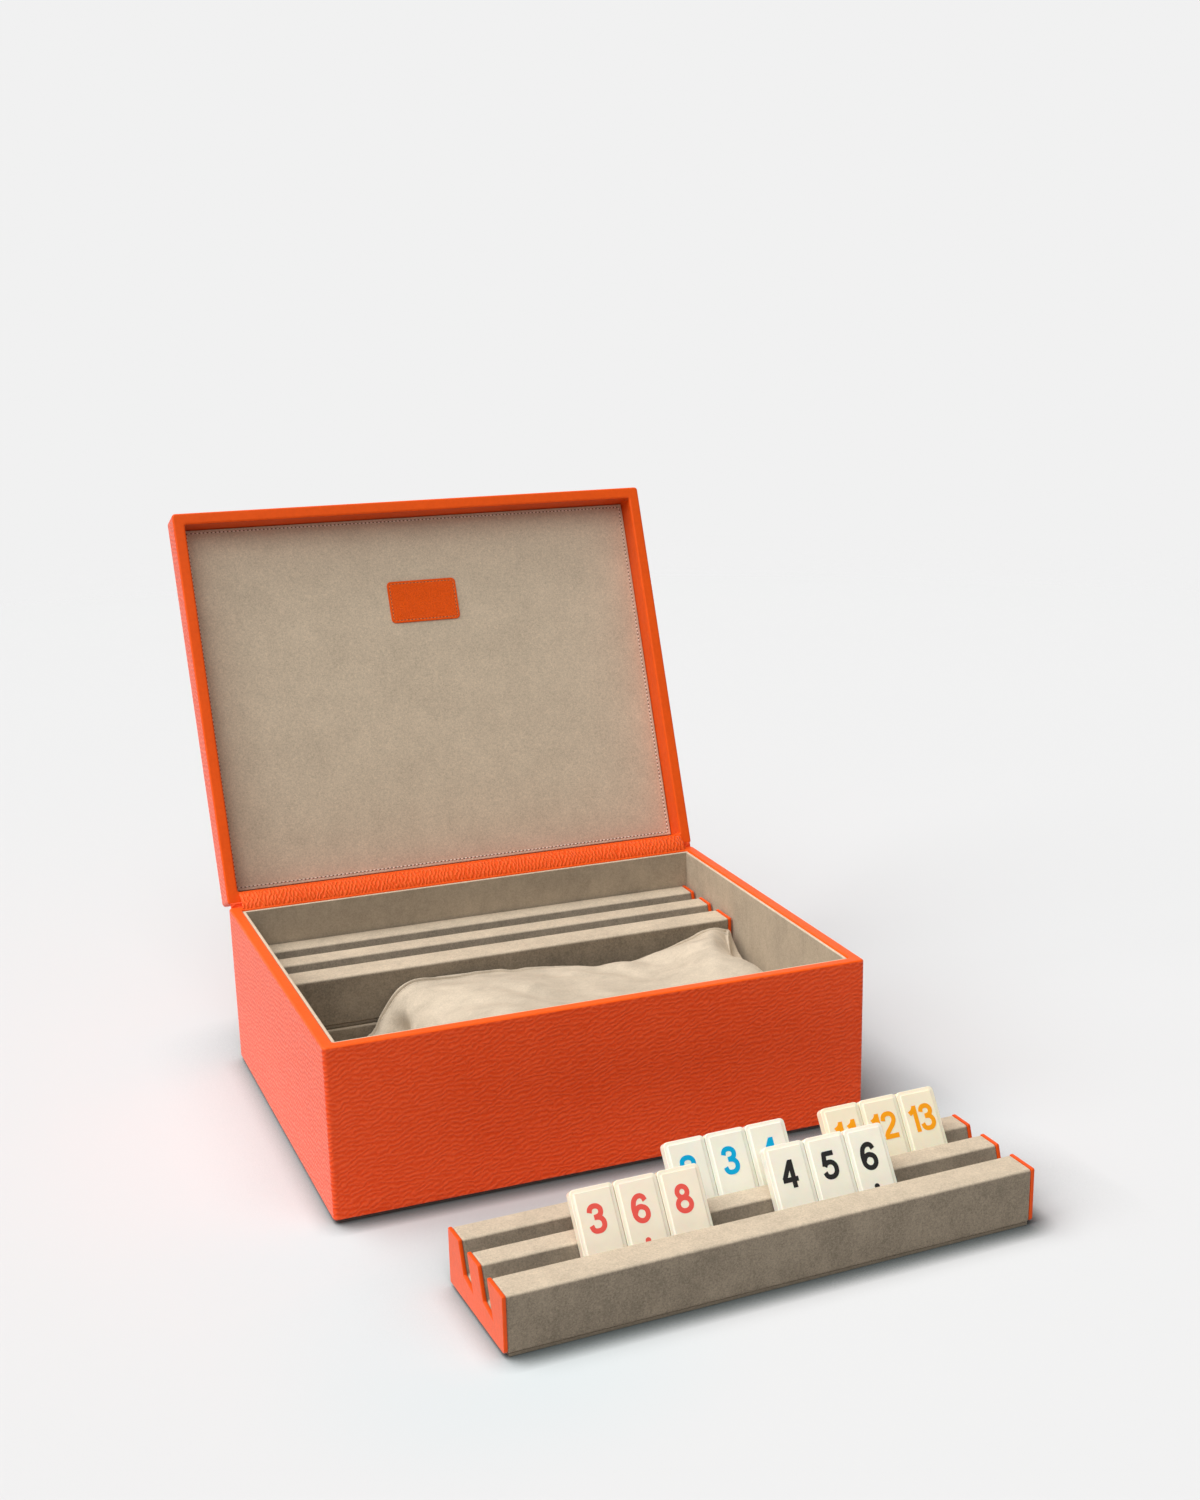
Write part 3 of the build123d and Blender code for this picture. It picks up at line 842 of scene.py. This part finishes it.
def along_outline(half_x, half_y, corner, pitch):
    """Evenly spaced places and headings round a rounded rectangle."""
    run_x, run_y, arc = 2 * (half_x - corner), 2 * (half_y - corner), corner * math.pi / 2
    total = 2 * (run_x + run_y) + 4 * arc
    count = round(total / pitch)
    centre = Vector((half_x - corner, half_y - corner))
    for index in range(count):
        travelled = index * total / count
        for side, run in enumerate((run_x, run_y, run_x, run_y)):
            turn = Matrix.Rotation(math.radians(90 * side), 2)
            reach = (centre.x, centre.y) if side % 2 == 0 else (centre.y, centre.x)
            if travelled < run:
                yield turn @ Vector((travelled - reach[0], -reach[1] - corner)), math.radians(90 * side)
                break
            travelled -= run
            if travelled < arc:
                angle = travelled / corner
                place = Vector((reach[0] + corner * math.sin(angle), -reach[1] - corner * math.cos(angle)))
                yield turn @ place, math.radians(90 * side) + angle
                break
            travelled -= arc


def sew(name, box, inset_by, corner, pitch, lift, sewing, item):
    """A line of stitches with flat dark discs of painted shade for needle holes, inside the edge of a patch's
    box in the shut lid.
    """
    shape = bmesh.new()
    low, high = box
    middle = (low + high) / 2
    half = (high - low) / 2 - Vector((inset_by, inset_by, 0.0))
    thread, hole = sewing
    grown = Matrix.Diagonal(((pitch - hole * 0.7) / 2, thread / 2, thread * 0.42, 1.0))
    tilt = Matrix.Rotation(STITCH_TILT, 4, "Z")
    gap = Matrix.Translation((pitch / 2, 0.0, -0.015)) @ Matrix.Rotation(math.pi, 4, "X")
    slit = Matrix.Diagonal((hole / 2, hole * 0.36, 1.0, 1.0))
    for place, heading in along_outline(half.x, half.y, corner, pitch):
        at = Matrix.Translation((middle.x + place.x, middle.y + place.y, low.z + lift))
        at = at @ Matrix.Rotation(heading, 4, "Z")
        bmesh.ops.create_icosphere(shape, subdivisions=1, radius=1.0, matrix=at @ tilt @ grown)
        known = set(shape.faces)
        # Each needle hole is a flat dark disc: painted shade
        bmesh.ops.create_circle(shape, cap_ends=True, segments=8, radius=1.0, matrix=at @ gap @ slit)
        for made in shape.faces:
            if made not in known:
                made.material_index = 1
    move(shape, LID_TURN)
    return settle(make_piece(name, shape, (item, "hole")), "lid")


def patch(node, name, item, edge, steps, corner=None):
    """A patch on the lid with its face stepped in and out, which stands for a node; gives its shut box."""
    shape = bmesh.new()
    low, high = box_before(node, LID_TURN)
    cuboid(shape, low, high)
    if corner is not None:
        bevel(shape, edges_along(shape, 2), corner, 6)
    bevel(shape, facing(shape, DOWN).edges, edge, 3)
    inset(shape, facing(shape, DOWN), *steps)
    move(shape, LID_TURN)
    settle(even_shading(make_piece(name, shape, item)), "lid", [node])
    return low, high


class RUMMY_OT_lid_panel(bpy.types.Operator):
    """Make the stitched suede panel in the lid"""

    bl_idname = "rummy.lid_panel"
    bl_label = "Lid panel"

    def execute(self, context):
        stitch_inset = sizes().stitch_inset
        # Up to the stitches, down into their furrow, up again, and a flat border
        steps = ((stitch_inset - 1.3, 0.0), (0.7, -0.35), (0.7, 0.35), (3.0, 0.0))
        box = patch("lid_suede_panel", "lid_panel", "panel", 0.6, steps)
        sew("panel_stitches", box, stitch_inset, 2.0, sizes().stitch, 0.08, PANEL_SEWING, "thread")
        return {"FINISHED"}


class RUMMY_OT_label(bpy.types.Operator):
    """Make the plain stitched label"""

    bl_idname = "rummy.label"
    bl_label = "Label"

    def execute(self, context):
        # Up to the stitches, down into their furrow, up again, and a slightly padded middle
        steps = ((0.9, 0.0), (0.4, -0.22), (0.4, 0.22), (0.8, 0.10))
        box = patch("lid_label_patch", "lid_label", "label", 0.4, steps, LABEL_CORNER)
        sew(
            "label_stitches", box, LABEL_STITCH_INSET, 1.6, sizes().label_stitch, 0.1, LABEL_SEWING,
            "label_thread",
        )
        return {"FINISHED"}


# ---- Racks and tiles ----


class RUMMY_OT_racks(bpy.types.Operator):
    """Make the four suede racks with their leather ends"""

    bl_idname = "rummy.racks"
    bl_label = "Racks"

    def execute(self, context):
        for rack in ("front_rack", "lower_rack", "upper_rack", "pouch_rack"):
            softened(f"{rack}_core", f"{rack}_ribs", 1.1, "rack", rack)
            softened(f"{rack}_base_board", f"{rack}_base", 0.5, "rack_base", rack, 2)
            for side in ("left", "right"):
                softened(f"{rack}_{side}_end", f"{rack}_{side}", 0.6, "end", rack)
        return {"FINISHED"}


# The strokes of each digit, as shares of its height from its left foot
DIGITS = {
    "1": [[(0.42, 0.0), (0.42, 1.0)], [(0.42, 0.93), (0.33, 0.81), (0.16, 0.72)]],
    "2": [
        [
            (0.095, 0.68), (0.15, 0.85), (0.335, 0.922), (0.52, 0.86), (0.575, 0.71), (0.50, 0.54),
            (0.32, 0.36), (0.165, 0.21), (0.10, 0.08),
        ],
        [(0.03, 0.078), (0.65, 0.078)],
    ],
    "3": [
        [
            (0.115, 0.72), (0.18, 0.87), (0.335, 0.922), (0.50, 0.865), (0.555, 0.74), (0.49, 0.60),
            (0.33, 0.547), (0.26, 0.545),
        ],
        [
            (0.26, 0.54), (0.34, 0.54), (0.52, 0.475), (0.595, 0.30), (0.51, 0.13), (0.33, 0.078),
            (0.16, 0.13), (0.095, 0.285),
        ],
    ],
    "4": [[(0.48, 0.0), (0.48, 1.0)], [(0.03, 0.30), (0.67, 0.30)], [(0.10, 0.33), (0.45, 0.93)]],
    "5": [
        [(0.15, 0.915), (0.60, 0.915)],
        [(0.21, 0.96), (0.135, 0.48)],
        [
            (0.135, 0.47), (0.21, 0.56), (0.355, 0.605), (0.53, 0.53), (0.595, 0.345), (0.52, 0.15),
            (0.33, 0.078), (0.165, 0.13), (0.095, 0.27),
        ],
    ],
    "6": [
        [
            (0.575, 0.74), (0.50, 0.88), (0.35, 0.922), (0.19, 0.84), (0.10, 0.64), (0.085, 0.42),
            (0.14, 0.19), (0.345, 0.078), (0.525, 0.15), (0.59, 0.315), (0.525, 0.485), (0.36, 0.555),
        ],
        [(0.525, 0.485), (0.36, 0.555), (0.20, 0.50), (0.105, 0.36)],
    ],
    "8": [
        [(0.345, 0.925), (0.15, 0.735), (0.345, 0.545), (0.54, 0.735), (0.345, 0.925)],
        [(0.345, 0.53), (0.085, 0.30), (0.345, 0.078), (0.605, 0.30), (0.345, 0.53)],
    ],
}
DIGIT_STROKE = 0.178
DIGIT_WIDTH = 0.94
DIGIT_ADVANCE = {"1": 0.56}
PLAIN_ADVANCE = 0.74
# Thickness of the painted strokes, and how much each layer stands over the one before, against flicker
PAINT_HALF = 0.09
PAINT_LAYER = 0.012

TILE_CORNER = 2.6
TILE_BACK_EDGE = 0.7
TILE_FRONT_EDGE = 0.45
# How far the numbers sit to the left of a tile's middle
NUMBER_LEFT = 0.8
DOT_RADIUS = 1.55
DOT_DEPTH = 0.18
UPRIGHT = Matrix.Rotation(math.radians(90.0), 4, "X")


def strokes(number):
    """The strokes of a number about its middle, as shares of its height."""
    advances = [DIGIT_ADVANCE.get(symbol, PLAIN_ADVANCE) for symbol in number]
    start = -sum(advances) / 2
    for symbol, advance in zip(number, advances):
        for line in DIGITS[symbol]:
            yield [(start + x + 0.02, y - 0.5) for x, y in line]
        start += advance


def number_piece(name, number, place, item, body):
    """A painted number, as flat strokes pressed on a tile; a stroke that ends where it starts is closed."""
    height = sizes().digit
    curve = bpy.data.curves.new(name, "CURVE")
    curve.dimensions = "3D"
    curve.resolution_u = 10
    curve.extrude = PAINT_HALF * MM
    for layer, line in enumerate(strokes(number)):
        closed = line[0] == line[-1]
        points = line[:-1] if closed else line
        spline = curve.splines.new("BEZIER")
        spline.bezier_points.add(len(points) - 1)
        spline.use_cyclic_u = closed
        for point, (x, y) in zip(spline.bezier_points, points):
            point.co = (x * height * DIGIT_WIDTH * MM, y * height * MM, PAINT_LAYER * layer * MM)
            point.handle_left_type = point.handle_right_type = "AUTO" if len(points) > 2 else "VECTOR"
    drawn = bpy.data.objects.new(name, curve)
    mesh = bpy.data.meshes.new_from_object(drawn)
    bpy.data.objects.remove(drawn)
    shape = redrawn(mesh, 0.001)
    bpy.data.meshes.remove(mesh)
    move(shape, place)
    piece = make_piece(name, shape, item, smooth=False)
    modifier(piece, "SOLIDIFY", thickness=DIGIT_STROKE * height * MM, offset=0.0, use_even_offset=True)
    return settle(piece, body)


class RUMMY_OT_tiles(bpy.types.Operator):
    """Make the numbered tiles"""

    bl_idname = "rummy.tiles"
    bl_label = "Tiles"

    def execute(self, context):
        for node in frame["nodes"]:
            if node.startswith("tile_") and node != "tile_pouch":
                self.tile(node, *node.split("_")[1:])
        return {"FINISHED"}

    def tile(self, node, colour_name, number):
        """One tile with its stepped face, its number and the dot under a six."""
        body, paint = f"{colour_name}_{number}", f"paint_{colour_name}"
        step = sizes().tile_step
        low, high = box_before(node, TILE_TURN)
        shape = bmesh.new()
        cuboid(shape, low + Vector((0.0, step, 0.0)), high)
        bevel(shape, edges_along(shape, 1), TILE_CORNER, 6)
        bevel(shape, facing(shape, -FORWARD).edges, TILE_BACK_EDGE, 3)
        bevel(shape, facing(shape, FORWARD).edges, TILE_FRONT_EDGE, 3)
        border = (sizes().tile_border, 0.0)
        inset(shape, facing(shape, FORWARD), border, (0.30, step * 0.85), (0.25, step * 0.15))
        move(shape, TILE_TURN)
        piece = make_piece(f"{body}_tile", shape, f"tile_{colour_name}")
        settle(even_shading(piece), body, [node])

        def on_face(drop):
            place = ((low.x + high.x) / 2 - NUMBER_LEFT, low.y, high.z - drop)
            return TILE_TURN @ Matrix.Translation(place) @ UPRIGHT

        number_piece(f"{body}_number", number, on_face(sizes().digit_drop), paint, body)
        if number == "6":
            shape = bmesh.new()
            bmesh.ops.create_cone(
                shape, cap_ends=True, segments=32, radius1=DOT_RADIUS, radius2=DOT_RADIUS,
                depth=DOT_DEPTH, matrix=on_face(sizes().dot_drop),
            )
            settle(make_piece(f"{body}_dot", shape, paint, smooth=False), body)


# ---- Pouch ----

POUCH_LOW, POUCH_HIGH = node_box("tile_pouch")
POUCH_RACK_HIGH = node_box("pouch_rack_core")[1]
# In front of the first the pouch lies over a rack, and there it stays above the second
STEP_BACK = POUCH_RACK_HIGH.y + 0.6
STEP_TOP = POUCH_RACK_HIGH.z + 0.3
POUCH_SEAM_Y = POUCH_HIGH.y - 10.8
POUCH_VOXEL = 4.5
POUCH_TUCK = 2.0
POUCH_FRAMES = 20
POUCH_SWELL = 6.5
# Start and end in the floor plane, half width and depth of each fold pressed into the pouch
POUCH_FOLDS = (
    ((-32.0, -4.0), (-4.0, -38.0), 5.0, 2.4),
    ((8.0, 14.0), (34.0, 0.0), 4.5, 2.0),
    ((-60.0, -20.0), (-20.0, -46.0), 6.0, 1.8),
    ((46.0, 24.0), (72.0, -20.0), 6.0, 2.0),
    ((90.0, 26.0), (132.0, 6.0), 6.0, 2.0),
    ((112.0, -40.0), (146.0, -14.0), 7.0, 1.8),
    ((-48.0, 28.0), (12.0, 28.0), 17.0, 3.0),
    ((112.0, 30.0), (136.0, 22.0), 16.0, 2.6),
    ((146.0, 32.0), (150.0, -12.0), 9.0, 5.0),
    ((151.0, 16.0), (152.0, -70.0), 13.0, 11.0),
    ((-58.0, 18.0), (-30.0, 6.0), 4.0, 1.8),
    ((20.0, 20.0), (60.0, 2.0), 4.0, 2.2),
    ((66.0, 30.0), (96.0, -14.0), 4.5, 2.2),
)
# Middle, half sizes and depth of the dent; middle, reach and height of the raised corner
POUCH_DENT = ((-91.0, 1.0), (6.0, 13.0), 17.0)
POUCH_CORNER = ((-74.0, 30.0), 14.0, 7.5)
# Size and height of the lumps that the tiles inside make
POUCH_LUMPS = ((34.0, 2.2), (13.0, 0.7))
# Steps along the seam, how deep its sewn edge is sunk and how far that edge stands up
SEAM_STEPS = 90
EDGE_SUNK = 0.8
EDGE_HEIGHT = 1.5


def baked(piece):
    """Applies a piece's modifiers to its mesh."""
    graph = bpy.context.evaluated_depsgraph_get()
    mesh = bpy.data.meshes.new_from_object(piece.evaluated_get(graph))
    old = piece.data
    piece.modifiers.clear()
    piece.data = mesh
    bpy.data.meshes.remove(old)
    mesh.name = piece.name


class RUMMY_OT_pouch(bpy.types.Operator):
    """Make the soft pouch that lies over the fourth rack"""

    bl_idname = "rummy.pouch"
    bl_label = "Pouch"

    def execute(self, context):
        piece = self.blank()
        self.inflate(piece, context.scene)
        self.press(piece)
        path = self.seam_path(piece)
        self.mark_seam(piece, path)
        modifier(piece, "SUBSURF", levels=1, render_levels=1)
        settle(piece, "pouch", ["tile_pouch"])
        self.flange(path)
        return {"FINISHED"}

    def blank(self):
        """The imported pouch, remeshed evenly and drawn in a little, so that it has room to swell."""
        piece = make_piece("pouch_body", redrawn(frame["nodes"]["tile_pouch"].data), "pouch")
        modifier(piece, "REMESH", mode="VOXEL", voxel_size=POUCH_VOXEL * MM, use_smooth_shade=True)
        baked(piece)
        for vertex, normal in [(vertex, vertex.normal.copy()) for vertex in piece.data.vertices]:
            vertex.co -= normal * POUCH_TUCK * MM
        return piece

    def inflate(self, piece, scene):
        """Swells the pouch as cloth under pressure, no point further than a few millimetres."""
        start = [vertex.co.copy() for vertex in piece.data.vertices]
        cloth = modifier(piece, "CLOTH")
        cloth.settings.use_pressure = True
        cloth.settings.uniform_pressure_force = 4.0
        cloth.settings.effector_weights.gravity = 0.0
        cloth.settings.shrink_min = -0.06
        cloth.settings.bending_stiffness = 0.3
        cloth.collision_settings.use_collision = False
        for step in range(1, POUCH_FRAMES + 1):
            scene.frame_set(step)
        baked(piece)
        scene.frame_set(1)
        for vertex, first in zip(piece.data.vertices, start):
            moved = vertex.co - first
            vertex.co = first + moved * min(1.0, POUCH_SWELL * MM / max(moved.length, 1e-9))

    def press(self, piece):
        """Presses folds and a dent into the top, and keeps the pouch clear of what is round it."""
        shape = bmesh.new()
        shape.from_mesh(piece.data)
        bmesh.ops.smooth_vert(
            shape, verts=shape.verts, factor=0.5, use_axis_x=True, use_axis_y=True, use_axis_z=True
        )
        shape.normal_update()
        for vert in shape.verts:
            point = vert.co / MM
            upward = max(0.0, vert.normal.z) ** 0.5
            lump = sum(noise.noise(point / size) * height for size, height in POUCH_LUMPS)
            vert.co = (point + vert.normal * (lump - self.sink(point)) * upward) * MM
        for vert in shape.verts:
            point = vert.co / MM
            low = Vector((POUCH_LOW.x, POUCH_LOW.y, STEP_TOP if point.y < STEP_BACK else POUCH_LOW.z))
            held = [min(max(part, least), most) for part, least, most in zip(point, low, POUCH_HIGH)]
            vert.co = Vector(held) * MM
        shape.to_mesh(piece.data)
        shape.free()

    def sink(self, point):
        """How far the folds, the dent and the corner press the top of the pouch in at a point."""
        depth = 0.0
        for first, last, width, most in POUCH_FOLDS:
            first, last = Vector(first), Vector(last)
            run = last - first
            along = min(1.0, max(0.0, (point.xy - first).dot(run) / run.length_squared))
            gap = (point.xy - first - run * along).length / width
            depth += most * math.exp(-gap * gap) * (0.35 + 0.65 * math.sin(math.pi * along))
        (dent_x, dent_y), (wide, deep), hollow = POUCH_DENT
        gap = math.hypot((point.x - dent_x) / wide, (point.y - dent_y) / deep)
        depth += hollow * math.exp(-gap**4)
        (corner_x, corner_y), reach, lift = POUCH_CORNER
        gap = math.hypot(point.x - corner_x, (point.y - corner_y) * 0.5) / reach
        return depth - lift * math.exp(-gap**2)

    def seam_path(self, piece):
        """Points and normals along the seam, from the left foot over the ridge to the right end."""
        path = []
        for step in range(SEAM_STEPS + 1):
            x = POUCH_LOW.x + 2.0 + (POUCH_HIGH.x - POUCH_LOW.x - 8.0) * step / SEAM_STEPS
            y = POUCH_SEAM_Y + 0.8 * noise.noise(Vector((x / 30.0, 2.0, 0.0)))
            hit, point, normal, _ = piece.ray_cast(Vector((x, y, 200.0)) * MM, DOWN)
            if hit:
                path.append((point / MM, normal))
        return path

    def mark_seam(self, piece, path):
        """Stores each point's distance from the seam and its place along it, for the seam's stitches."""
        gaps = piece.data.attributes.new("seam_gap", "FLOAT", "POINT")
        runs = piece.data.attributes.new("seam_run", "FLOAT", "POINT")
        for vertex, gap, run in zip(piece.data.vertices, gaps.data, runs.data):
            point = vertex.co / MM
            near = min(path, key=lambda pair: (pair[0] - point).length_squared)
            gap.value = (near[0] - point).length
            run.value = point.x

    def flange(self, path):
        """The sewn edge of the pouch that stands up along its seam."""
        shape = bmesh.new()
        low = [shape.verts.new(point - normal * EDGE_SUNK) for point, normal in path]
        edges = [shape.edges.new(pair) for pair in zip(low, low[1:])]
        made = bmesh.ops.extrude_edge_only(shape, edges=edges)["geom"]
        high = [part for part in made if isinstance(part, bmesh.types.BMVert)]
        for vert in high:
            point, normal = min(path, key=lambda pair: (pair[0] - pair[1] * EDGE_SUNK - vert.co).length_squared)
            wave = 0.35 * noise.noise(Vector((point.x / 9.0, 5.0, 0.0)))
            vert.co = point + normal * (EDGE_HEIGHT + 0.3 * noise.noise(Vector((point.x / 7.0, 0.0, 3.0))))
            vert.co.y += 0.5 + wave
        bmesh.ops.recalc_face_normals(shape, faces=shape.faces)
        piece = make_piece("pouch_edge", shape, "pouch")
        modifier(piece, "SOLIDIFY", thickness=1.1 * MM, offset=0.0)
        modifier(piece, "BEVEL", width=0.35 * MM, segments=2, limit_method="ANGLE")
        settle(piece, "pouch")


# ---- Stage ----

IMAGE_WIDTH, IMAGE_HEIGHT = 1200, 1500
CAMERA_PLACE = Vector((-370.7, -1107.5, 515.1))
CAMERA_AZIMUTH = math.radians(-23.491)
CAMERA_ELEVATION = math.radians(17.463)
CAMERA_ROLL = math.radians(-0.469)
FOCAL_PIXELS = 1966.9
VIEW_CENTRE = (694.9, 865.2)
SENSOR = 36.0
FLOOR_RADIUS = 4000.0
# Name, strength, spread, azimuth and elevation of each lamp
LAMPS = (
    ("key", 1.95, 40.0, 140.0, 62.0),
    ("side", 1.22, 40.0, 180.0, 38.0),
    ("top", 0.50, 50.0, 200.0, 78.0),
    ("front", 1.25, 45.0, 245.0, 50.0),
)
AMBIENT = 0.05

# The lit floor's share of the backdrop's tone, and where the floor fades into the background
FLOOR_SHARE = 0.775
FLOOR_FADE = (1200.0, 2600.0)
# Reach in mm, direction, depth and power of the shadows deepened on the floor: under edges, and behind
# the front rack
SHADOWS = (
    (16.0, (-0.30, 0.50, 0.80), 1.75, 1.1),
    (75.0, (-0.42, -0.71, 0.56), 1.50, 1.25),
)
SHADOW_TINT = (0.185, 0.215, 0.215)
# The floor is cooled beside the case and beside the front rack's left end, against the orange that their
# leather throws on it
BOUNCE_TINT = (0.93, 0.99, 1.0)
BOUNCE_REACH = 130.0
CASE_HALF = (LINING_OUTER.x + 5.0, LINING_OUTER.y + 5.0)
END_LOW, END_HIGH = node_box("front_rack_left_end")
RACK_END = END_LOW.xy.lerp(END_HIGH.xy, 0.5)
RACK_END_HALF = (12.0, 34.0)


class RUMMY_OT_stage(bpy.types.Operator):
    """Set the floor, the lights and the camera"""

    bl_idname = "rummy.stage"
    bl_label = "Stage"

    def execute(self, context):
        self.floor()
        self.world(context.scene)
        for name, strength, spread, azimuth, elevation in LAMPS:
            self.lamp(name, strength, spread, math.radians(azimuth), math.radians(elevation))
        self.camera(context.scene)
        context.scene.view_settings.view_transform = "Standard"
        return {"FINISHED"}

    def floor(self):
        """The pale floor, its shadows deepened where the camera sees it, fading out far away."""
        shape = bmesh.new()
        bmesh.ops.create_circle(shape, cap_ends=True, segments=96, radius=FLOOR_RADIUS)
        make = Finish.named("floor")
        fade = make.vector("LENGTH", make.place(), output="Value").step(*FLOOR_FADE)
        tone = dyed("backdrop", FLOOR_SHARE)
        seen = make.add("ShaderNodeLightPath", output="Is Camera Ray")
        unshaded = 1.0
        for reach, toward, depth, power in SHADOWS:
            sky = {"Distance": reach * MM, "Normal": make.add("ShaderNodeCombineXYZ", toward)}
            sky = make.add("ShaderNodeAmbientOcclusion", sky, "AO", samples=6)
            unshaded = (1.0 - (((1.0 - sky) * depth) ** power).clamped()) * unshaded
        dim = (1.0 - unshaded) * seen
        by_rack = make.beside(RACK_END, RACK_END_HALF, BOUNCE_REACH)
        cooled = seen * make.beside((0.0, 0.0), CASE_HALF, BOUNCE_REACH).math("MAXIMUM", by_rack)
        plain = make.blend(cooled, tone, shade(tone, BOUNCE_TINT))
        lit = {"Color": make.blend(dim.clamped(), plain, shade(tone, SHADOW_TINT))}
        lit = make.add("ShaderNodeBsdfDiffuse", lit)
        mixed = make.add("ShaderNodeMixShader", [fade, lit, make.add("ShaderNodeBsdfTransparent")])
        make.add("ShaderNodeOutputMaterial", {"Surface": mixed})
        FINISHES["floor"] = make.owner
        floor = make_piece("floor", shape, "floor")

    def world(self, scene):
        """A faint even light, with the backdrop's tone wherever the background is seen or mirrored."""
        scene.world = bpy.data.worlds.new("studio")
        make = Finish(scene.world)
        rays = ("Camera", "Glossy", "Transmission")
        seen = sum(make.add("ShaderNodeLightPath", output=f"Is {ray} Ray") for ray in rays).clamped()
        ambient = make.add("ShaderNodeBackground", {"Color": (1.0, 1.0, 1.0, 1.0), "Strength": AMBIENT})
        backdrop = make.add("ShaderNodeBackground", {"Color": (*dyed("backdrop"), 1.0), "Strength": 1.0})
        mixed = make.add("ShaderNodeMixShader", [seen, ambient, backdrop])
        make.add("ShaderNodeOutputWorld", {"Surface": mixed})

    def lamp(self, name, strength, spread, azimuth, elevation):
        """A wide sun that shines from an azimuth and elevation."""
        level = math.cos(elevation)
        direction = (-math.cos(azimuth) * level, -math.sin(azimuth) * level, -math.sin(elevation))
        light = bpy.data.lights.new(name, "SUN")
        light.energy = strength
        light.angle = math.radians(spread)
        lamp = bpy.data.objects.new(name, light)
        lamp.rotation_euler = Vector(direction).to_track_quat("-Z", "Y").to_euler()
        bpy.context.scene.collection.objects.link(lamp)

    def camera(self, scene):
        """The camera, level but for its roll, with its view centre shifted into place."""
        azimuth, elevation = CAMERA_AZIMUTH, CAMERA_ELEVATION
        ahead = Vector((
            -math.sin(azimuth) * math.cos(elevation),
            math.cos(azimuth) * math.cos(elevation),
            -math.sin(elevation),
        ))
        right = ahead.cross(Vector((0.0, 0.0, 1.0))).normalized()
        up = right.cross(ahead)
        turned_right = math.cos(CAMERA_ROLL) * right + math.sin(CAMERA_ROLL) * up
        turned_up = -math.sin(CAMERA_ROLL) * right + math.cos(CAMERA_ROLL) * up
        data = bpy.data.cameras.new("camera")
        data.sensor_fit = "VERTICAL"
        data.sensor_height = SENSOR
        data.lens = FOCAL_PIXELS / IMAGE_HEIGHT * SENSOR
        data.shift_x = (IMAGE_WIDTH / 2 - VIEW_CENTRE[0]) / IMAGE_HEIGHT
        data.shift_y = (VIEW_CENTRE[1] - IMAGE_HEIGHT / 2) / IMAGE_HEIGHT
        data.clip_start = 0.05
        camera = bpy.data.objects.new("camera", data)
        axes = Matrix((turned_right, turned_up, -ahead)).transposed().to_4x4()
        camera.matrix_world = Matrix.Translation(CAMERA_PLACE * MM) @ axes
        scene.collection.objects.link(camera)
        scene.camera = camera


class RUMMY_PT_panel(bpy.types.Panel):
    """Lists the operators of the rummy case"""

    bl_idname = "RUMMY_PT_panel"
    bl_label = "Rummy case"
    bl_space_type = "VIEW_3D"
    bl_region_type = "UI"
    bl_category = "Rummy case"

    def draw(self, context):
        for operator in OPERATORS:
            self.layout.operator(operator.bl_idname)
        for group in (context.scene.rummy_sizes, context.scene.rummy_colours):
            for key in group.__annotations__:
                self.layout.prop(group, key)


OPERATORS = (
    RUMMY_OT_stage,
    RUMMY_OT_boards,
    RUMMY_OT_case_leather,
    RUMMY_OT_lid_leather,
    RUMMY_OT_hinges,
    RUMMY_OT_linings,
    RUMMY_OT_lid_panel,
    RUMMY_OT_label,
    RUMMY_OT_racks,
    RUMMY_OT_tiles,
    RUMMY_OT_pouch,
)
CLASSES = (CaseSizes, CaseColours, *OPERATORS, RUMMY_PT_panel)


def register():
    for item in CLASSES:
        bpy.utils.register_class(item)
    bpy.types.Scene.rummy_sizes = PointerProperty(type=CaseSizes)
    bpy.types.Scene.rummy_colours = PointerProperty(type=CaseColours)


def unregister():
    del bpy.types.Scene.rummy_colours
    del bpy.types.Scene.rummy_sizes
    for item in reversed(CLASSES):
        bpy.utils.unregister_class(item)


def main():
    register()
    for operator in OPERATORS:
        group, name = operator.bl_idname.split(".")
        getattr(getattr(bpy.ops, group), name)()


if __name__ == "__main__":
    main()
